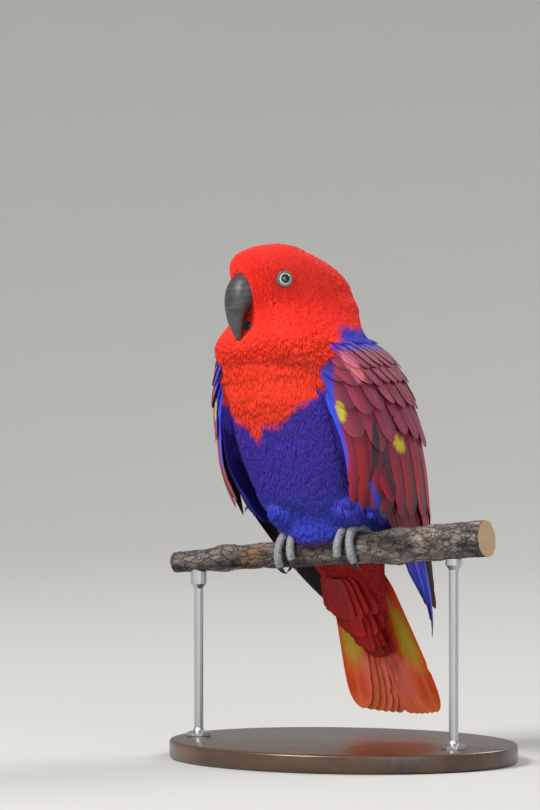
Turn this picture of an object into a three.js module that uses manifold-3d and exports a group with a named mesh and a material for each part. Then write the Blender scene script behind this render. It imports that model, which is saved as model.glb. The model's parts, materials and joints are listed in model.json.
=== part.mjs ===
// Female eclectus parrot, life size, perched on a cut length of branch that a plain stand holds up.
// Millimetres, +Z up. The bird faces -Y and its left side is +X.
// The exported group's origin is the centre of the base's underside. Everything else is built in
// the perch's frame, whose origin is the middle of the perch, between the feet.

import * as THREE from "three";
import { mergeVertices } from "three/addons/utils/BufferGeometryUtils.js";
import Module from "manifold-3d";

const wasm = await Module();
wasm.setup();

const { degToRad, clamp, lerp } = THREE.MathUtils;
const vec = (x, y, z) => new THREE.Vector3(x, y, z);

// Driving sizes
const GAP = 0.3; // between nodes that meet
const CROWN = 198.4; // height of the crown over the perch's middle
const HEAD_TURN = 27; // degrees, towards the bird's right
const HEAD_CENTRE = vec(-2, -25, 167);
const EYE_RADIUS = 6;
const EYE_OPENING = 4.1; // radius of the round opening between the lids
const EYE_ANGLE = 1.3; // round the head from straight ahead, in radians
const TAIL_LENGTH = 128;
const TAIL_LEAN = degToRad(29); // from vertical
const TAIL_ROOT = vec(0, 42, 0);
const TAIL_CORE_END = -64;
const WING_TOP = 138;
const WING_CORE_END = 14;
const VANE_THICKNESS = 0.8;
const VANE_STEP = 1.12; // from one vane's middle to that of the next, where they overlap
const ROOT_SINK = 2.4; // how far a vane's root lies under the surface it grows from
const PERCH_LENGTH = 232;
const PERCH_RADIUS = 9.4;
const PERCH_RIPPLE = 0.03; // unevenness of its radius
const PERCH_SHIFT = 10; // of the branch's own middle, towards the bird's left
const PERCH_TURN = degToRad(4); // about Z, away from square to the body
const PERCH_RISE = degToRad(5.2); // towards the bird's left
const PERCH_HEIGHT = 134; // of the perch's middle over the floor
const FOOT_PLACES = { left: 29, right: -15.5 }; // along the perch, from the body's middle
const TOE_RADIUS = 2.9;
const CLAW_LENGTH = 11;
const BASE_SIZE = { length: 236, depth: 196, thickness: 12, bevel: 2 };
const BASE_CENTRE = vec(10, 17, -PERCH_HEIGHT); // seen from the perch's middle
const ROD_RADIUS = 3;
const ROD_PLACES = { right: -88, left: 102 }; // along the perch

// Colours, as three.js hex values
const PAINT = {
  scarlet: 0xd3190d,
  violet: 0x2a2196,
  maroon: 0x7c1a1c,
  tail: 0xb83213,
  bill: 0x1d1d22,
  iris: 0xd8cf9a,
  foot: 0x8d8c8e,
  bark: 0x6f6459,
  wood: 0x3b2417,
  steel: 0x8f9296,
};

// Reads a table whose first column falls from row to row, as a smooth function of that column.
function smoothTable(rows) {
  const rising = [...rows].reverse();
  const heights = rising.map((row) => row[0]);
  const values = rising.flatMap((row) => row.slice(1));
  const curve = new THREE.CubicInterpolant(heights, values, rows[0].length - 1);
  return (z) => Array.from(curve.evaluate(clamp(z, heights[0], heights.at(-1))));
}

// Level sections of head, neck, body and the root of the tail, from the crown down. Columns:
// height, middle X, middle Y, half width, depth in front, depth behind, turn in degrees, and
// squareness in front and behind, which is 2 for an ellipse.
const TRUNK_ROWS = [
  [CROWN, -6.5, -34, 0, 0, 0, HEAD_TURN, 2, 2],
  [197, -7, -34.7, 9, 10.5, 10, HEAD_TURN, 2, 2],
  [193.7, -7.2, -35.2, 15.5, 21, 19.5, HEAD_TURN, 2, 2],
  [190, -6.1, -33, 20, 29, 25, HEAD_TURN, 2.1, 2],
  [185.6, -4.7, -30.3, 23.2, 34, 30, HEAD_TURN, 2.5, 2.1],
  [180.5, -3.4, -27.7, 25.5, 36.5, 34.5, HEAD_TURN, 3, 2.1],
  [174, -2, -25, 26.5, 37.5, 38, HEAD_TURN, 3.5, 2.1],
  [167, -2, -25, 27.5, 36.5, 42, HEAD_TURN, 3.4, 2.1],
  [160, -2, -24.5, 29.5, 35, 45, 26, 3.1, 2.2],
  [153, -2, -24, 33.5, 34, 46, 23, 3, 2.2],
  [146, -1.5, -22, 39, 36.5, 44, 19, 3.1, 2.2],
  [138, -1, -19, 45.5, 43, 42, 13, 3.1, 2.2],
  [130, -0.5, -16, 49.5, 47.5, 43, 7, 3, 2.2],
  [122, 0, -12, 52, 49, 43.5, 3, 2.8, 2.2],
  [110, 0, -7.5, 53.5, 49.5, 43.5, 0, 2.5, 2.2],
  [95, 0, -2.5, 55, 50, 43.5, 0, 2.4, 2.2],
  [75, 0, 3.5, 55, 48, 43, 0, 2.4, 2.2],
  [55, 0, 9.5, 52.5, 45.5, 40, 0, 2.35, 2.2],
  [35, 0, 17, 47.5, 43, 35, 0, 2.25, 2.2],
  [20, 0, 24.5, 41.5, 41, 30, 0, 2.2, 2.1],
  [6, 0, 31, 34, 42.5, 25, 0, 2.1, 2],
  [-4, 0, 37, 27, 33, 20, 0, 2, 2],
  [-14, 0, 43, 24, 23, 15, 0, 2, 2],
  [-30, 0, 52, 20, 15, 9, 0, 2, 2],
  [-50, 0, 63, 14, 9, 5, 0, 2, 2],
  [TAIL_CORE_END, 0, 70.5, 0, 0, 0, 0, 2, 2],
];
const trunkSections = smoothTable(TRUNK_ROWS);

// Level sections of the folded wings' outer face, in the same columns. It runs on past the body to
// the wing tips.
const wingSections = smoothTable([
  [145, 0, -21, 41, 38, 42, 0, 2.3, 2.3],
  [136, 0, -18, 48, 43, 43, 0, 2.35, 2.35],
  [128, 0, -13.5, 53.5, 45, 47, 0, 2.4, 2.4],
  [113, 0, -7, 58.5, 50, 52, 0, 2.5, 2.5],
  [95, 0, -2, 61.5, 53, 55.5, 0, 2.6, 2.6],
  [75, 0, 3.6, 63, 52, 56.5, 0, 2.7, 2.7],
  [55, 0, 8, 62.5, 50, 56.5, 0, 2.8, 2.8],
  [40, 0, 13, 61, 46, 54.5, 0, 2.8, 2.8],
  [27, 0, 19.5, 58, 42, 51.5, 0, 2.9, 2.9],
  [10, 0, 27, 54.5, 36, 50, 0, 3, 3],
  [-10, 0, 37, 50, 30, 47, 0, 3, 3],
  [-30, 0, 50, 46.5, 27, 43, 0, 3, 3],
  [-47, 0, 63, 42.5, 25, 36, 0, 3, 3],
  [-62, 0, 76, 37, 22, 27, 0, 3, 3],
]);

// A point on a section. The angle is 0 in front and a quarter turn on the bird's left.
function onSection([x, y, half, front, behind, turn, squareFront, squareBehind], z, angle) {
  const ahead = Math.cos(angle) > 0;
  const power = 2 / (ahead ? squareFront : squareBehind);
  const rounded = (v) => Math.sign(v) * Math.abs(v) ** power;
  const side = half * rounded(Math.sin(angle));
  const depth = (ahead ? front : behind) * rounded(Math.cos(angle));
  const yaw = degToRad(turn);
  return vec(
    x + side * Math.cos(yaw) - depth * Math.sin(yaw),
    y - side * Math.sin(yaw) - depth * Math.cos(yaw),
    z,
  );
}

// A point of the left wing's outer face, by height and by distance along the section from the
// middle of the back.
function wingPoint(z, reach) {
  const section = wingSections(z);
  const steps = 72;
  let from = onSection(section, z, Math.PI);
  let walked = 0;
  for (let i = 1; i <= steps; i++) {
    const to = onSection(section, z, Math.PI * (1 - i / steps));
    const stride = to.distanceTo(from);
    if (walked + stride >= reach) return from.lerp(to, (reach - walked) / stride);
    walked += stride;
    from = to;
  }
  return from;
}

// The unit normal of a surface place(a, b), from its two slopes.
function normalOf(place, a, b, stepA, stepB) {
  const slopeA = place(a + stepA, b).sub(place(a - stepA, b));
  const slopeB = place(a, b + stepB).sub(place(a, b - stepB));
  return slopeA.cross(slopeB).normalize();
}

// Moves every vertex of a three.js primitive.
function moulded(geometry, place) {
  const { position } = geometry.attributes;
  const from = vec(0, 0, 0);
  for (let i = 0; i < position.count; i++) {
    const to = place(from.fromBufferAttribute(position, i));
    position.setXYZ(i, to.x, to.y, to.z);
  }
  return geometry;
}

// A closed three.js geometry as a solid, with its faces turned out.
function solid(geometry) {
  const bare = new THREE.BufferGeometry();
  bare.setAttribute("position", geometry.attributes.position);
  bare.setIndex(geometry.index);
  const merged = mergeVertices(bare, 1e-4);
  const vertProperties = new Float32Array(merged.attributes.position.array);
  const triVerts = new Uint32Array(merged.index.array);
  const made = () => new wasm.Manifold(new wasm.Mesh({ numProp: 3, vertProperties, triVerts }));
  const first = made();
  if (first.volume() > 0) return first;
  for (let i = 0; i < triVerts.length; i += 3) {
    [triVerts[i + 1], triVerts[i + 2]] = [triVerts[i + 2], triVerts[i + 1]];
  }
  return made();
}

// The largest closed body of a solid.
function largest(shape) {
  return shape.decompose().reduce((a, b) => (b.volume() > a.volume() ? b : a));
}

function joined(solids) {
  return solids.reduce((a, b) => a.add(b));
}

// The same solid on the bird's other side.
function mirrored(shape) {
  return shape.mirror([1, 0, 0]);
}

// A solid back as a geometry.
function geometryOf(shape) {
  const mesh = largest(shape).getMesh();
  const points = new Float32Array(mesh.numVert * 3);
  for (let i = 0; i < mesh.numVert; i++) {
    for (let k = 0; k < 3; k++) points[i * 3 + k] = mesh.vertProperties[i * mesh.numProp + k];
  }
  const geometry = new THREE.BufferGeometry();
  geometry.setAttribute("position", new THREE.BufferAttribute(points, 3));
  geometry.setIndex(new THREE.BufferAttribute(new Uint32Array(mesh.triVerts), 1));
  return geometry;
}

// A closed plate from two like grids and a rim. place(side, along, face) gives each point, with
// side from -1 to 1, along from 0 to 1, and face 1 on the outside and -1 on the inside.
function plate(columns, rows, place) {
  const grid = new THREE.PlaneGeometry(2, 1, columns, rows);
  const { position } = grid.attributes;
  const points = [];
  for (const face of [1, -1]) {
    for (let i = 0; i < position.count; i++) {
      points.push(...place(position.getX(i), 0.5 - position.getY(i), face).toArray());
    }
  }
  const under = position.count;
  const faces = [];
  for (let i = 0; i < grid.index.count; i += 3) {
    const [a, b, c] = grid.index.array.slice(i, i + 3);
    faces.push(a, b, c, a + under, c + under, b + under);
  }
  const rim = [];
  for (let i = 0; i < columns; i++) rim.push(i);
  for (let i = 0; i < rows; i++) rim.push(i * (columns + 1) + columns);
  for (let i = columns; i > 0; i--) rim.push(rows * (columns + 1) + i);
  for (let i = rows; i > 0; i--) rim.push(i * (columns + 1));
  rim.forEach((a, i) => {
    const b = rim[(i + 1) % rim.length];
    faces.push(a, b, a + under, b, b + under, a + under);
  });
  const geometry = new THREE.BufferGeometry();
  geometry.setAttribute("position", new THREE.Float32BufferAttribute(points, 3));
  geometry.setIndex(faces);
  return solid(geometry);
}

// A round bar. at(t) gives its middle and two directions across it, and radius(t) its thickness.
function bar(sides, steps, at, radius) {
  const place = (p) => {
    const t = p.y + 0.5;
    const { middle, one, other } = at(t);
    return middle.clone().addScaledVector(one, p.x * radius(t)).addScaledVector(other, p.z * radius(t));
  };
  return solid(moulded(new THREE.CylinderGeometry(1, 1, 1, sides, steps), place));
}

// A slab that fills everything under a plane.
function below(point, normal) {
  const size = 600;
  const turn = new THREE.Quaternion().setFromUnitVectors(vec(0, 0, 1), normal.clone().normalize());
  const slab = new THREE.BoxGeometry(size, size, size).translate(0, 0, -size / 2);
  return solid(slab.applyQuaternion(turn).translate(point.x, point.y, point.z));
}

// Feather vanes

// Half width of a vane at each row of its plate, as a share of the widest.
const VANE_ROWS = { places: [0, 0.4, 0.82, 1], widths: [0.7, 1, 0.88, 0.34] };

// A vane on a surface. at(side, along) gives the surface's two coordinates, surface(a, b) its point
// and normal, and lift(side, along) the vane's height over it.
function vane(surface, at, lift) {
  const rows = VANE_ROWS.places.length - 1;
  return plate(2, rows, (side, step, face) => {
    const row = Math.round(step * rows);
    const along = VANE_ROWS.places[row];
    const rounding = row === rows ? 0.05 * (1 - side * side) : 0;
    const { point, normal } = surface(...at(side * VANE_ROWS.widths[row], along + rounding));
    const taper = (1 - 0.2 * Math.abs(side)) * (1 - 0.2 * along);
    return point.addScaledVector(normal, lift(side, along) + (face * VANE_THICKNESS * taper) / 2);
  });
}

// Trunk

// Head, neck, body and the root of the tail as one shape, larger all over by an offset.
function trunk(offset) {
  const around = 22;
  const rings = TRUNK_ROWS.length;
  const place = (z, angle) => onSection(trunkSections(z), z, angle);
  return solid(
    moulded(new THREE.SphereGeometry(1, around, rings), (p) => {
      const ring = (Math.acos(clamp(p.y, -1, 1)) / Math.PI) * (TRUNK_ROWS.length - 1);
      const row = Math.min(Math.floor(ring), TRUNK_ROWS.length - 2);
      const z = lerp(TRUNK_ROWS[row][0], TRUNK_ROWS[row + 1][0], ring - row);
      if (Math.abs(p.y) > 0.99999) return place(z, 0).setZ(z + Math.sign(p.y) * offset);
      const angle = Math.atan2(p.x, p.z);
      const out = normalOf(place, z, angle, 0.4, 0.03).negate();
      return place(z, angle).addScaledVector(out, offset);
    }),
  );
}

// Where the trunk is parted. Each plane is a point and its upward normal, and each loses a thin cut.
const CUTS = {
  throat: [vec(-2, -24, 147), vec(-0.15, -0.3, 1)],
  shoulders: [vec(0, -12, 121), vec(0, -0.15, 1)],
  rump: [vec(0, 44, -9), vec(0, -Math.sin(TAIL_LEAN), Math.cos(TAIL_LEAN))],
};

function above(shape, [point, normal]) {
  return shape.subtract(below(point, normal));
}

function under(shape, [point, normal]) {
  const lower = point.clone().addScaledVector(normal.clone().normalize(), -GAP);
  return shape.intersect(below(lower, normal));
}

// Head

const headTurn = degToRad(HEAD_TURN);
const FORWARD = vec(-Math.sin(headTurn), -Math.cos(headTurn), 0);
const LEFTWARD = vec(Math.cos(headTurn), -Math.sin(headTurn), 0);

function headPoint(forward, leftward, up) {
  const level = HEAD_CENTRE.clone().addScaledVector(FORWARD, forward);
  return level.addScaledVector(LEFTWARD, leftward).add(vec(0, 0, up));
}

// A bill half, from an upper or outer line and an inner line in the head's middle plane, each a
// list of forward and up, and its half widths.
function billHalf(outer, inner, widths, grow) {
  const line = (points) => new THREE.SplineCurve(points.map(([f, u]) => new THREE.Vector2(f, u)));
  const [outside, inside] = [line(outer), line(inner)];
  const width = smoothTable(widths.map((w, i) => [1 - i / (widths.length - 1), w]));
  const place = (p) => {
    const t = p.y + 0.5;
    const [a, b] = [outside.getPoint(t), inside.getPoint(t)];
    const depth = a.clone().sub(b).multiplyScalar(0.5);
    const reach = 1 + grow / Math.max(depth.length(), 0.5);
    const middle = a.add(b).multiplyScalar(0.5).addScaledVector(depth, p.x * reach);
    return headPoint(middle.x, p.z * (width(1 - t)[0] + grow), middle.y);
  };
  return solid(moulded(new THREE.CylinderGeometry(1, 1, 1, 12, 7), place));
}

function upperBill(grow) {
  const outer = [[30, 13], [37.5, 11], [43, 4], [45, -6], [43.4, -18], [39.8, -27.5], [35.2, -34.3]];
  const inner = [[25, -8], [29.5, -12], [33, -14], [34.6, -17], [35.6, -21.5], [35.6, -27], [34.4, -33.4]];
  return billHalf(outer, inner, [11.8, 11.7, 11.2, 10, 7.8, 4.6, 0.8], grow);
}

function lowerBill(grow) {
  const outer = [[19, -26], [25.5, -28.5], [30.5, -27.5], [34, -22.5]];
  const inner = [[20, -15], [25.5, -16], [30.5, -17.5], [33.4, -20.5]];
  return billHalf(outer, inner, [9.5, 9.2, 8, 4.5], grow);
}

// Where an eye sits: its middle, and the direction it looks in.
function eyeSeat(side) {
  const height = HEAD_CENTRE.z + 7.7;
  const angle = side * EYE_ANGLE;
  const place = (z, turn) => onSection(trunkSections(z), z, turn);
  const out = normalOf(place, height, angle, 0.4, 0.03).negate();
  const depth = Math.sqrt(EYE_RADIUS ** 2 - EYE_OPENING ** 2);
  return { middle: place(height, angle).addScaledVector(out, 0.4 - depth), out, depth };
}

function eye(side, grow) {
  const { middle, out } = eyeSeat(side);
  const ball = new THREE.SphereGeometry(EYE_RADIUS + grow, 11, 8);
  const turn = new THREE.Quaternion().setFromUnitVectors(vec(0, 1, 0), out);
  return solid(ball.applyQuaternion(turn).translate(middle.x, middle.y, middle.z));
}

// The bare ring of lids round an eye.
function lids(side) {
  const { middle, out, depth } = eyeSeat(side);
  const ring = new THREE.TorusGeometry(EYE_OPENING + 0.5, 0.8, 4, 12);
  const turn = new THREE.Quaternion().setFromUnitVectors(vec(0, 0, 1), out);
  const at = middle.addScaledVector(out, depth);
  return solid(ring.applyQuaternion(turn).translate(at.x, at.y, at.z));
}

function head(whole) {
  const skull = joined([above(whole, CUTS.throat), lids(1), lids(-1)]);
  return [upperBill(GAP), lowerBill(GAP), eye(1, GAP), eye(-1, GAP)].reduce(
    (shape, hollow) => shape.subtract(hollow),
    skull,
  );
}

// Tail

const TAIL_DOWN = vec(0, Math.sin(TAIL_LEAN), -Math.cos(TAIL_LEAN));
const TAIL_OUT = vec(0, Math.cos(TAIL_LEAN), Math.sin(TAIL_LEAN));

// The tail's own surface: sideways and down its length, with its upper face as the normal. It
// arches, so its edges lie lower than its middle.
function tailSurface(sideways, down) {
  const sag = 0.0035 * sideways * sideways;
  const point = TAIL_ROOT.clone().add(vec(sideways, 0, 0)).addScaledVector(TAIL_DOWN, down);
  return { point: point.addScaledVector(TAIL_OUT, -sag), normal: TAIL_OUT };
}

// One tail vane. sideways, down and rise are its places and heights at root and tip. tilt is the
// slope that lifts its outer edge, where the next vane lies on it.
function tailVane({ sideways, down, half, rise, tilt }) {
  const outward = Math.sign(sideways[1]);
  const at = (side, along) => [
    lerp(sideways[0], sideways[1], along) + side * half,
    lerp(down[0], down[1], along),
  ];
  const lift = (side, along) => lerp(rise[0], rise[1], along) + tilt * half * side * outward;
  return vane(tailSurface, at, lift);
}

// Eleven feathers show of the tail's twelve, as the middle two lie one over the other.
function tailFeathers() {
  const places = Array.from({ length: 11 }, (_, i) => i - 5);
  return places.map((place) => {
    const stack = (5 - Math.abs(place)) * 0.55 + (place === 0 ? 0.6 : 0);
    return tailVane({
      sideways: [place * 2.3, place * 5.7],
      down: [10, TAIL_LENGTH - 0.22 * place * place],
      half: 10.4,
      rise: [stack - 1, stack],
      tilt: 0.13,
    });
  });
}

// Tail coverts in tiers, two over the tail and three under it. heights are those of the tier's
// roots and tips over the tail's surface.
const TAIL_TIERS = [
  { count: 3, width: [13, 24], down: [14, 44], heights: [2, 7.4] },
  { count: 2, width: [6, 11], down: [30, 64], heights: [-1.5, 5.4] },
  { count: 3, width: [16, 26], down: [10, 42], heights: [-19, -18.5] },
  { count: 3, width: [13, 21], down: [28, 61], heights: [-14.5, -12.5] },
  { count: 2, width: [6, 10], down: [46, 78], heights: [-10.5, -4.6] },
];

function tailCoverts() {
  return TAIL_TIERS.flatMap(({ count, width, down, heights }) =>
    Array.from({ length: count }, (_, i) => {
      const place = i / (count - 1) - 0.5;
      const step = (i % 2) * VANE_STEP * Math.sign(heights[1]);
      return tailVane({
        sideways: [place * width[0], place * width[1]],
        down: [down[0], down[1] - 12 * place * place],
        half: 6.2,
        rise: [heights[0], heights[1] + step],
        tilt: 0,
      });
    }),
  );
}

function tail(whole) {
  return joined([under(whole, CUTS.rump), ...tailFeathers(), ...tailCoverts()]);
}

// Wings

// The left wing's leading and back edges, as distances from the middle of the back, by height.
const leadingEdge = smoothTable([
  [138, 114],
  [128, 131],
  [97, 150],
  [60, 146],
  [40, 141],
  [28, 134],
  [20, 118],
  [10, 100],
  [0, 87],
  [-20, 73],
  [-43, 57],
  [-62, 44],
]);
const backEdge = smoothTable([
  [138, 34],
  [110, 12],
  [90, 7],
  [0, 8],
  [-20, 14],
  [-43, 28],
  [-62, 34],
]);

function wingSurface(z, reach) {
  return { point: wingPoint(z, reach), normal: normalOf(wingPoint, z, reach, 0.5, 0.5) };
}

// The wing's bone and muscle, thick at the shoulder and thin further down, where it sinks away
// under the flight feathers.
function wingCore() {
  const faces = smoothTable([[138, 0, -13], [100, 0, -11], [70, -0.2, -8], [40, -2.6, -6], [WING_CORE_END, -5.5, -7]]);
  return plate(7, 7, (side, along, face) => {
    const z = lerp(WING_TOP, WING_CORE_END, along);
    const reach = lerp(backEdge(z)[0] + 4, leadingEdge(z)[0] - 4, (side + 1) / 2);
    const { point, normal } = wingSurface(z, reach);
    const [outside, inside] = faces(z);
    const edge = 0.6 * Math.abs(side) ** 4;
    return point.addScaledVector(normal, face > 0 ? outside : lerp(inside, outside - 0.8, edge));
  });
}

// The left wing's feathers in tiers, from the flight feathers up. roots and tips are heights, and
// across runs from the leading edge, 0, to the back edge, 1, each at both ends of the tier. rise is
// the tips' height over the wing's outer face.
const WING_TIERS = [
  { count: 6, roots: [62, 58], across: [0.12, 0.49], tips: [-34, -60], tipAcross: [0.1, 0.55], half: 8, rise: -6.5 },
  { count: 5, roots: [74, 76], across: [0.44, 0.94], tips: [-14, -40], tipAcross: [0.5, 0.9], half: 9.5, rise: -0.6 },
  { count: 6, roots: [92, 90], across: [0.05, 0.94], tips: [34, 38], tipAcross: [0.06, 0.92], half: 13.8, rise: 2.2 },
  { count: 6, roots: [108, 106], across: [0.06, 0.93], tips: [66, 68], tipAcross: [0.07, 0.93], half: 13.9, rise: 2.2 },
  { count: 6, roots: [122, 120], across: [0.06, 0.93], tips: [91, 93], tipAcross: [0.07, 0.93], half: 12.9, rise: 2.2 },
];

// A place on the wing, by height and share of the way from the leading edge to the back edge.
function wingPlace(z, across) {
  return new THREE.Vector2(z, lerp(leadingEdge(z)[0], backEdge(z)[0], across));
}

// Each vane slopes, so that its leading edge covers the vane in front. Where a tier narrows, its
// vanes also stand a step higher one by one towards the back.
function wingTier({ count, roots, across, tips, tipAcross, half, rise }) {
  const places = Array.from({ length: count }, (_, i) => {
    const t = i / (count - 1);
    return {
      root: wingPlace(lerp(...roots, t), lerp(...across, t)),
      tip: wingPlace(lerp(...tips, t), lerp(...tipAcross, t)),
    };
  });
  const pitch = (end) => (places[0][end].y - places.at(-1)[end].y) / (count - 1);
  const tilt = VANE_STEP / pitch("root");
  const stack = Math.max(0, VANE_STEP - tilt * pitch("tip"));
  return places.map(({ root, tip }, i) => {
    const along = tip.clone().sub(root);
    const sideways = new THREE.Vector2(along.y, -along.x).normalize();
    const at = (side, share) => {
      const middle = root.clone().addScaledVector(along, share);
      return middle.addScaledVector(sideways, side * half).toArray();
    };
    const lift = (side, share) => {
      const climb = lerp(-ROOT_SINK, rise, share ** 0.8);
      return climb + stack * i * share + tilt * half * side;
    };
    return vane(wingSurface, at, lift);
  });
}

function wingFeathers() {
  return WING_TIERS.flatMap(wingTier);
}

// Perch and stand

const PERCH_ALONG = vec(Math.cos(PERCH_TURN), Math.sin(PERCH_TURN), Math.tan(PERCH_RISE)).normalize();
const PERCH_FRONT = vec(Math.sin(PERCH_TURN), -Math.cos(PERCH_TURN), 0);
const PERCH_UP = PERCH_FRONT.clone().cross(PERCH_ALONG);

// The branch thickens towards the bird's left and swells at its knots, clear of the feet.
const KNOTS = [
  { at: -66, size: 1.7, length: 7 },
  { at: 60, size: 2, length: 8 },
  { at: 92, size: 1.3, length: 6 },
];

function perchRadius(along) {
  const swell = KNOTS.reduce((sum, k) => sum + k.size * Math.exp(-(((along - k.at) / k.length) ** 2)), 0);
  return PERCH_RADIUS + 0.022 * along + swell;
}

function perchPoint(along, turn, radius) {
  const middle = PERCH_ALONG.clone().multiplyScalar(along);
  middle.addScaledVector(PERCH_UP, Math.cos(turn) * radius);
  return middle.addScaledVector(PERCH_FRONT, Math.sin(turn) * radius);
}

function perch(grow) {
  const branch = moulded(new THREE.CylinderGeometry(1, 1, 1, 12, 18), (p) => {
    const along = PERCH_SHIFT + p.y * (PERCH_LENGTH + 2 * grow);
    const turn = Math.atan2(p.x, p.z);
    const ripple = 1 + PERCH_RIPPLE * Math.sin(3 * turn + along * 0.07);
    return perchPoint(along, turn, Math.hypot(p.x, p.z) * (perchRadius(along) * ripple + grow));
  });
  return solid(branch);
}

function rod(along) {
  const top = PERCH_ALONG.clone().multiplyScalar(along);
  const floor = BASE_CENTRE.z + BASE_SIZE.thickness + GAP;
  const profile = [[0, 0], [8, 0], [8, 2], [ROD_RADIUS + 0.6, 3.2], [ROD_RADIUS, 5]];
  const length = top.z - floor;
  const socket = [[ROD_RADIUS, length - 18], [5.2, length - 15], [5.2, length], [0, length]];
  const points = [...profile, ...socket].map(([r, z]) => new THREE.Vector2(r, z));
  const turned = new THREE.LatheGeometry(points, 14).rotateX(Math.PI / 2);
  return solid(turned.translate(top.x, top.y, floor)).subtract(perch(GAP));
}

function base() {
  const { length, depth, thickness, bevel } = BASE_SIZE;
  const outline = new THREE.Shape();
  outline.absellipse(0, 0, length / 2 - bevel, depth / 2 - bevel, 0, 2 * Math.PI, false, 0);
  const board = new THREE.ExtrudeGeometry(outline, {
    depth: thickness - 2 * bevel,
    bevelThickness: bevel,
    bevelSize: bevel,
    bevelSegments: 1,
    curveSegments: 20,
  });
  return solid(board.translate(BASE_CENTRE.x, BASE_CENTRE.y, BASE_CENTRE.z + bevel));
}

// Legs and feet

function ellipsoid(middle, half, grow) {
  const ball = new THREE.SphereGeometry(1, 10, 7).rotateX(Math.PI / 2);
  ball.scale(half.x + grow, half.y + grow, half.z + grow);
  return solid(ball.translate(middle.x, middle.y, middle.z));
}

function footPlace(side) {
  return side > 0 ? FOOT_PLACES.left : FOOT_PLACES.right;
}

// The feathered thigh, a lobe of the belly over each foot.
function thigh(side, grow) {
  const under = perchPoint(footPlace(side), 0, 0);
  return ellipsoid(vec(under.x, under.y - 4, under.z + 30.5), vec(15.5, 17, 17), grow);
}

// Toes: sideways place at root and tip, and how far round the perch they reach, in degrees from
// its top. Two reach forward and two back.
const TOES = [
  { sideways: [3, 5.5], reach: 128 },
  { sideways: [-3, -5], reach: 108 },
  { sideways: [4, 9], reach: -112 },
  { sideways: [-3, -6], reach: -96 },
];

function toe(place, side, { sideways, reach }, grow) {
  const end = degToRad(reach);
  const ring = perchRadius(place) * (1 + PERCH_RIPPLE) + TOE_RADIUS + GAP;
  const across = (t) => place + side * lerp(sideways[0], sideways[1], t);
  const at = (t) => ({
    middle: perchPoint(across(t), end * t, ring),
    one: PERCH_ALONG,
    other: perchPoint(0, end * t, 1),
  });
  const swollen = (t) => TOE_RADIUS * (1 - 0.18 * t) + grow;
  const tip = perchPoint(across(1), end, ring);
  const onward = perchPoint(0, end + (Math.sign(end) * Math.PI) / 2, 1);
  const inward = perchPoint(0, end, -1);
  const clawAt = (t) => {
    const bend = t * 1.1;
    const middle = tip.clone().addScaledVector(onward, CLAW_LENGTH * (Math.sin(bend) / 1.1));
    return {
      middle: middle.addScaledVector(inward, CLAW_LENGTH * (1 - Math.cos(bend)) * 0.75 - 0.4),
      one: PERCH_ALONG,
      other: perchPoint(0, end + Math.sign(end) * bend, 1),
    };
  };
  const claw = bar(5, 3, clawAt, (t) => 2.1 * (1 - 0.88 * t) + grow);
  return bar(6, 5, at, swollen).add(claw);
}

function foot(side, grow) {
  const place = footPlace(side);
  const top = vec(perchPoint(place, 0, 0).x, -1, 34);
  const bottom = perchPoint(place, 0, perchRadius(place) + 4.6);
  const shank = bar(
    8,
    1,
    (t) => ({ middle: bottom.clone().lerp(top, t), one: vec(1, 0, 0), other: vec(0, 1, 0) }),
    () => 4.2 + grow,
  );
  const pad = ellipsoid(bottom, vec(6.2, 6, 3.8), grow);
  return joined([shank, pad, ...TOES.map((each) => toe(place, side, each, grow))]);
}

// Room in the belly for the toes of one foot, which lie round the perch.
function footHollow(side) {
  const place = footPlace(side);
  const reach = perchRadius(place) * (1 + PERCH_RIPPLE) + 2 * TOE_RADIUS + 5 * GAP;
  const at = (t) => ({
    middle: perchPoint(place + 28 * (t - 0.5), 0, 0),
    one: PERCH_UP,
    other: PERCH_FRONT,
  });
  return bar(14, 1, at, () => reach / Math.cos(Math.PI / 14));
}

// The finished figure

const whole = trunk(0);
const trunkRoom = trunk(GAP);
const perchRoom = perch(GAP);
const thighRoom = thigh(1, GAP).add(thigh(-1, GAP));
const footRoom = footHollow(1).add(footHollow(-1));
const torso = under(above(whole, CUTS.rump), CUTS.shoulders).subtract(joined([thighRoom, footRoom, perchRoom]));
const neck = under(above(whole, CUTS.shoulders), CUTS.throat).subtract(upperBill(GAP));
const bodyRoom = joined([trunkRoom, thighRoom, perchRoom]);
const openWing = joined([wingCore(), ...wingFeathers()]);
const leg = (side) => thigh(side, 0).subtract(foot(side, GAP));

const parts = [
  ["head", head(whole), PAINT.scarlet, 0.8],
  ["neck", neck, PAINT.scarlet, 0.8],
  ["torso", torso, PAINT.violet, 0.8],
  ["tail", tail(whole), PAINT.tail, 0.7],
  ["wing_left", openWing.subtract(bodyRoom), PAINT.maroon, 0.65],
  ["wing_right", mirrored(openWing).subtract(bodyRoom), PAINT.maroon, 0.65],
  ["leg_left", leg(1), PAINT.violet, 0.8],
  ["leg_right", leg(-1), PAINT.violet, 0.8],
  ["foot_left", foot(1, 0), PAINT.foot, 0.6],
  ["foot_right", foot(-1, 0), PAINT.foot, 0.6],
  ["bill_upper", upperBill(0), PAINT.bill, 0.35],
  ["bill_lower", lowerBill(0).subtract(upperBill(GAP)), PAINT.bill, 0.4],
  ["eye_left", eye(1, 0), PAINT.iris, 0.1],
  ["eye_right", eye(-1, 0), PAINT.iris, 0.1],
  ["perch", perch(0), PAINT.bark, 0.9],
  ["stand_base", base(), PAINT.wood, 0.4],
  ["stand_rod_left", rod(ROD_PLACES.left), PAINT.steel, 0.3],
  ["stand_rod_right", rod(ROD_PLACES.right), PAINT.steel, 0.3],
];

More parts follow.
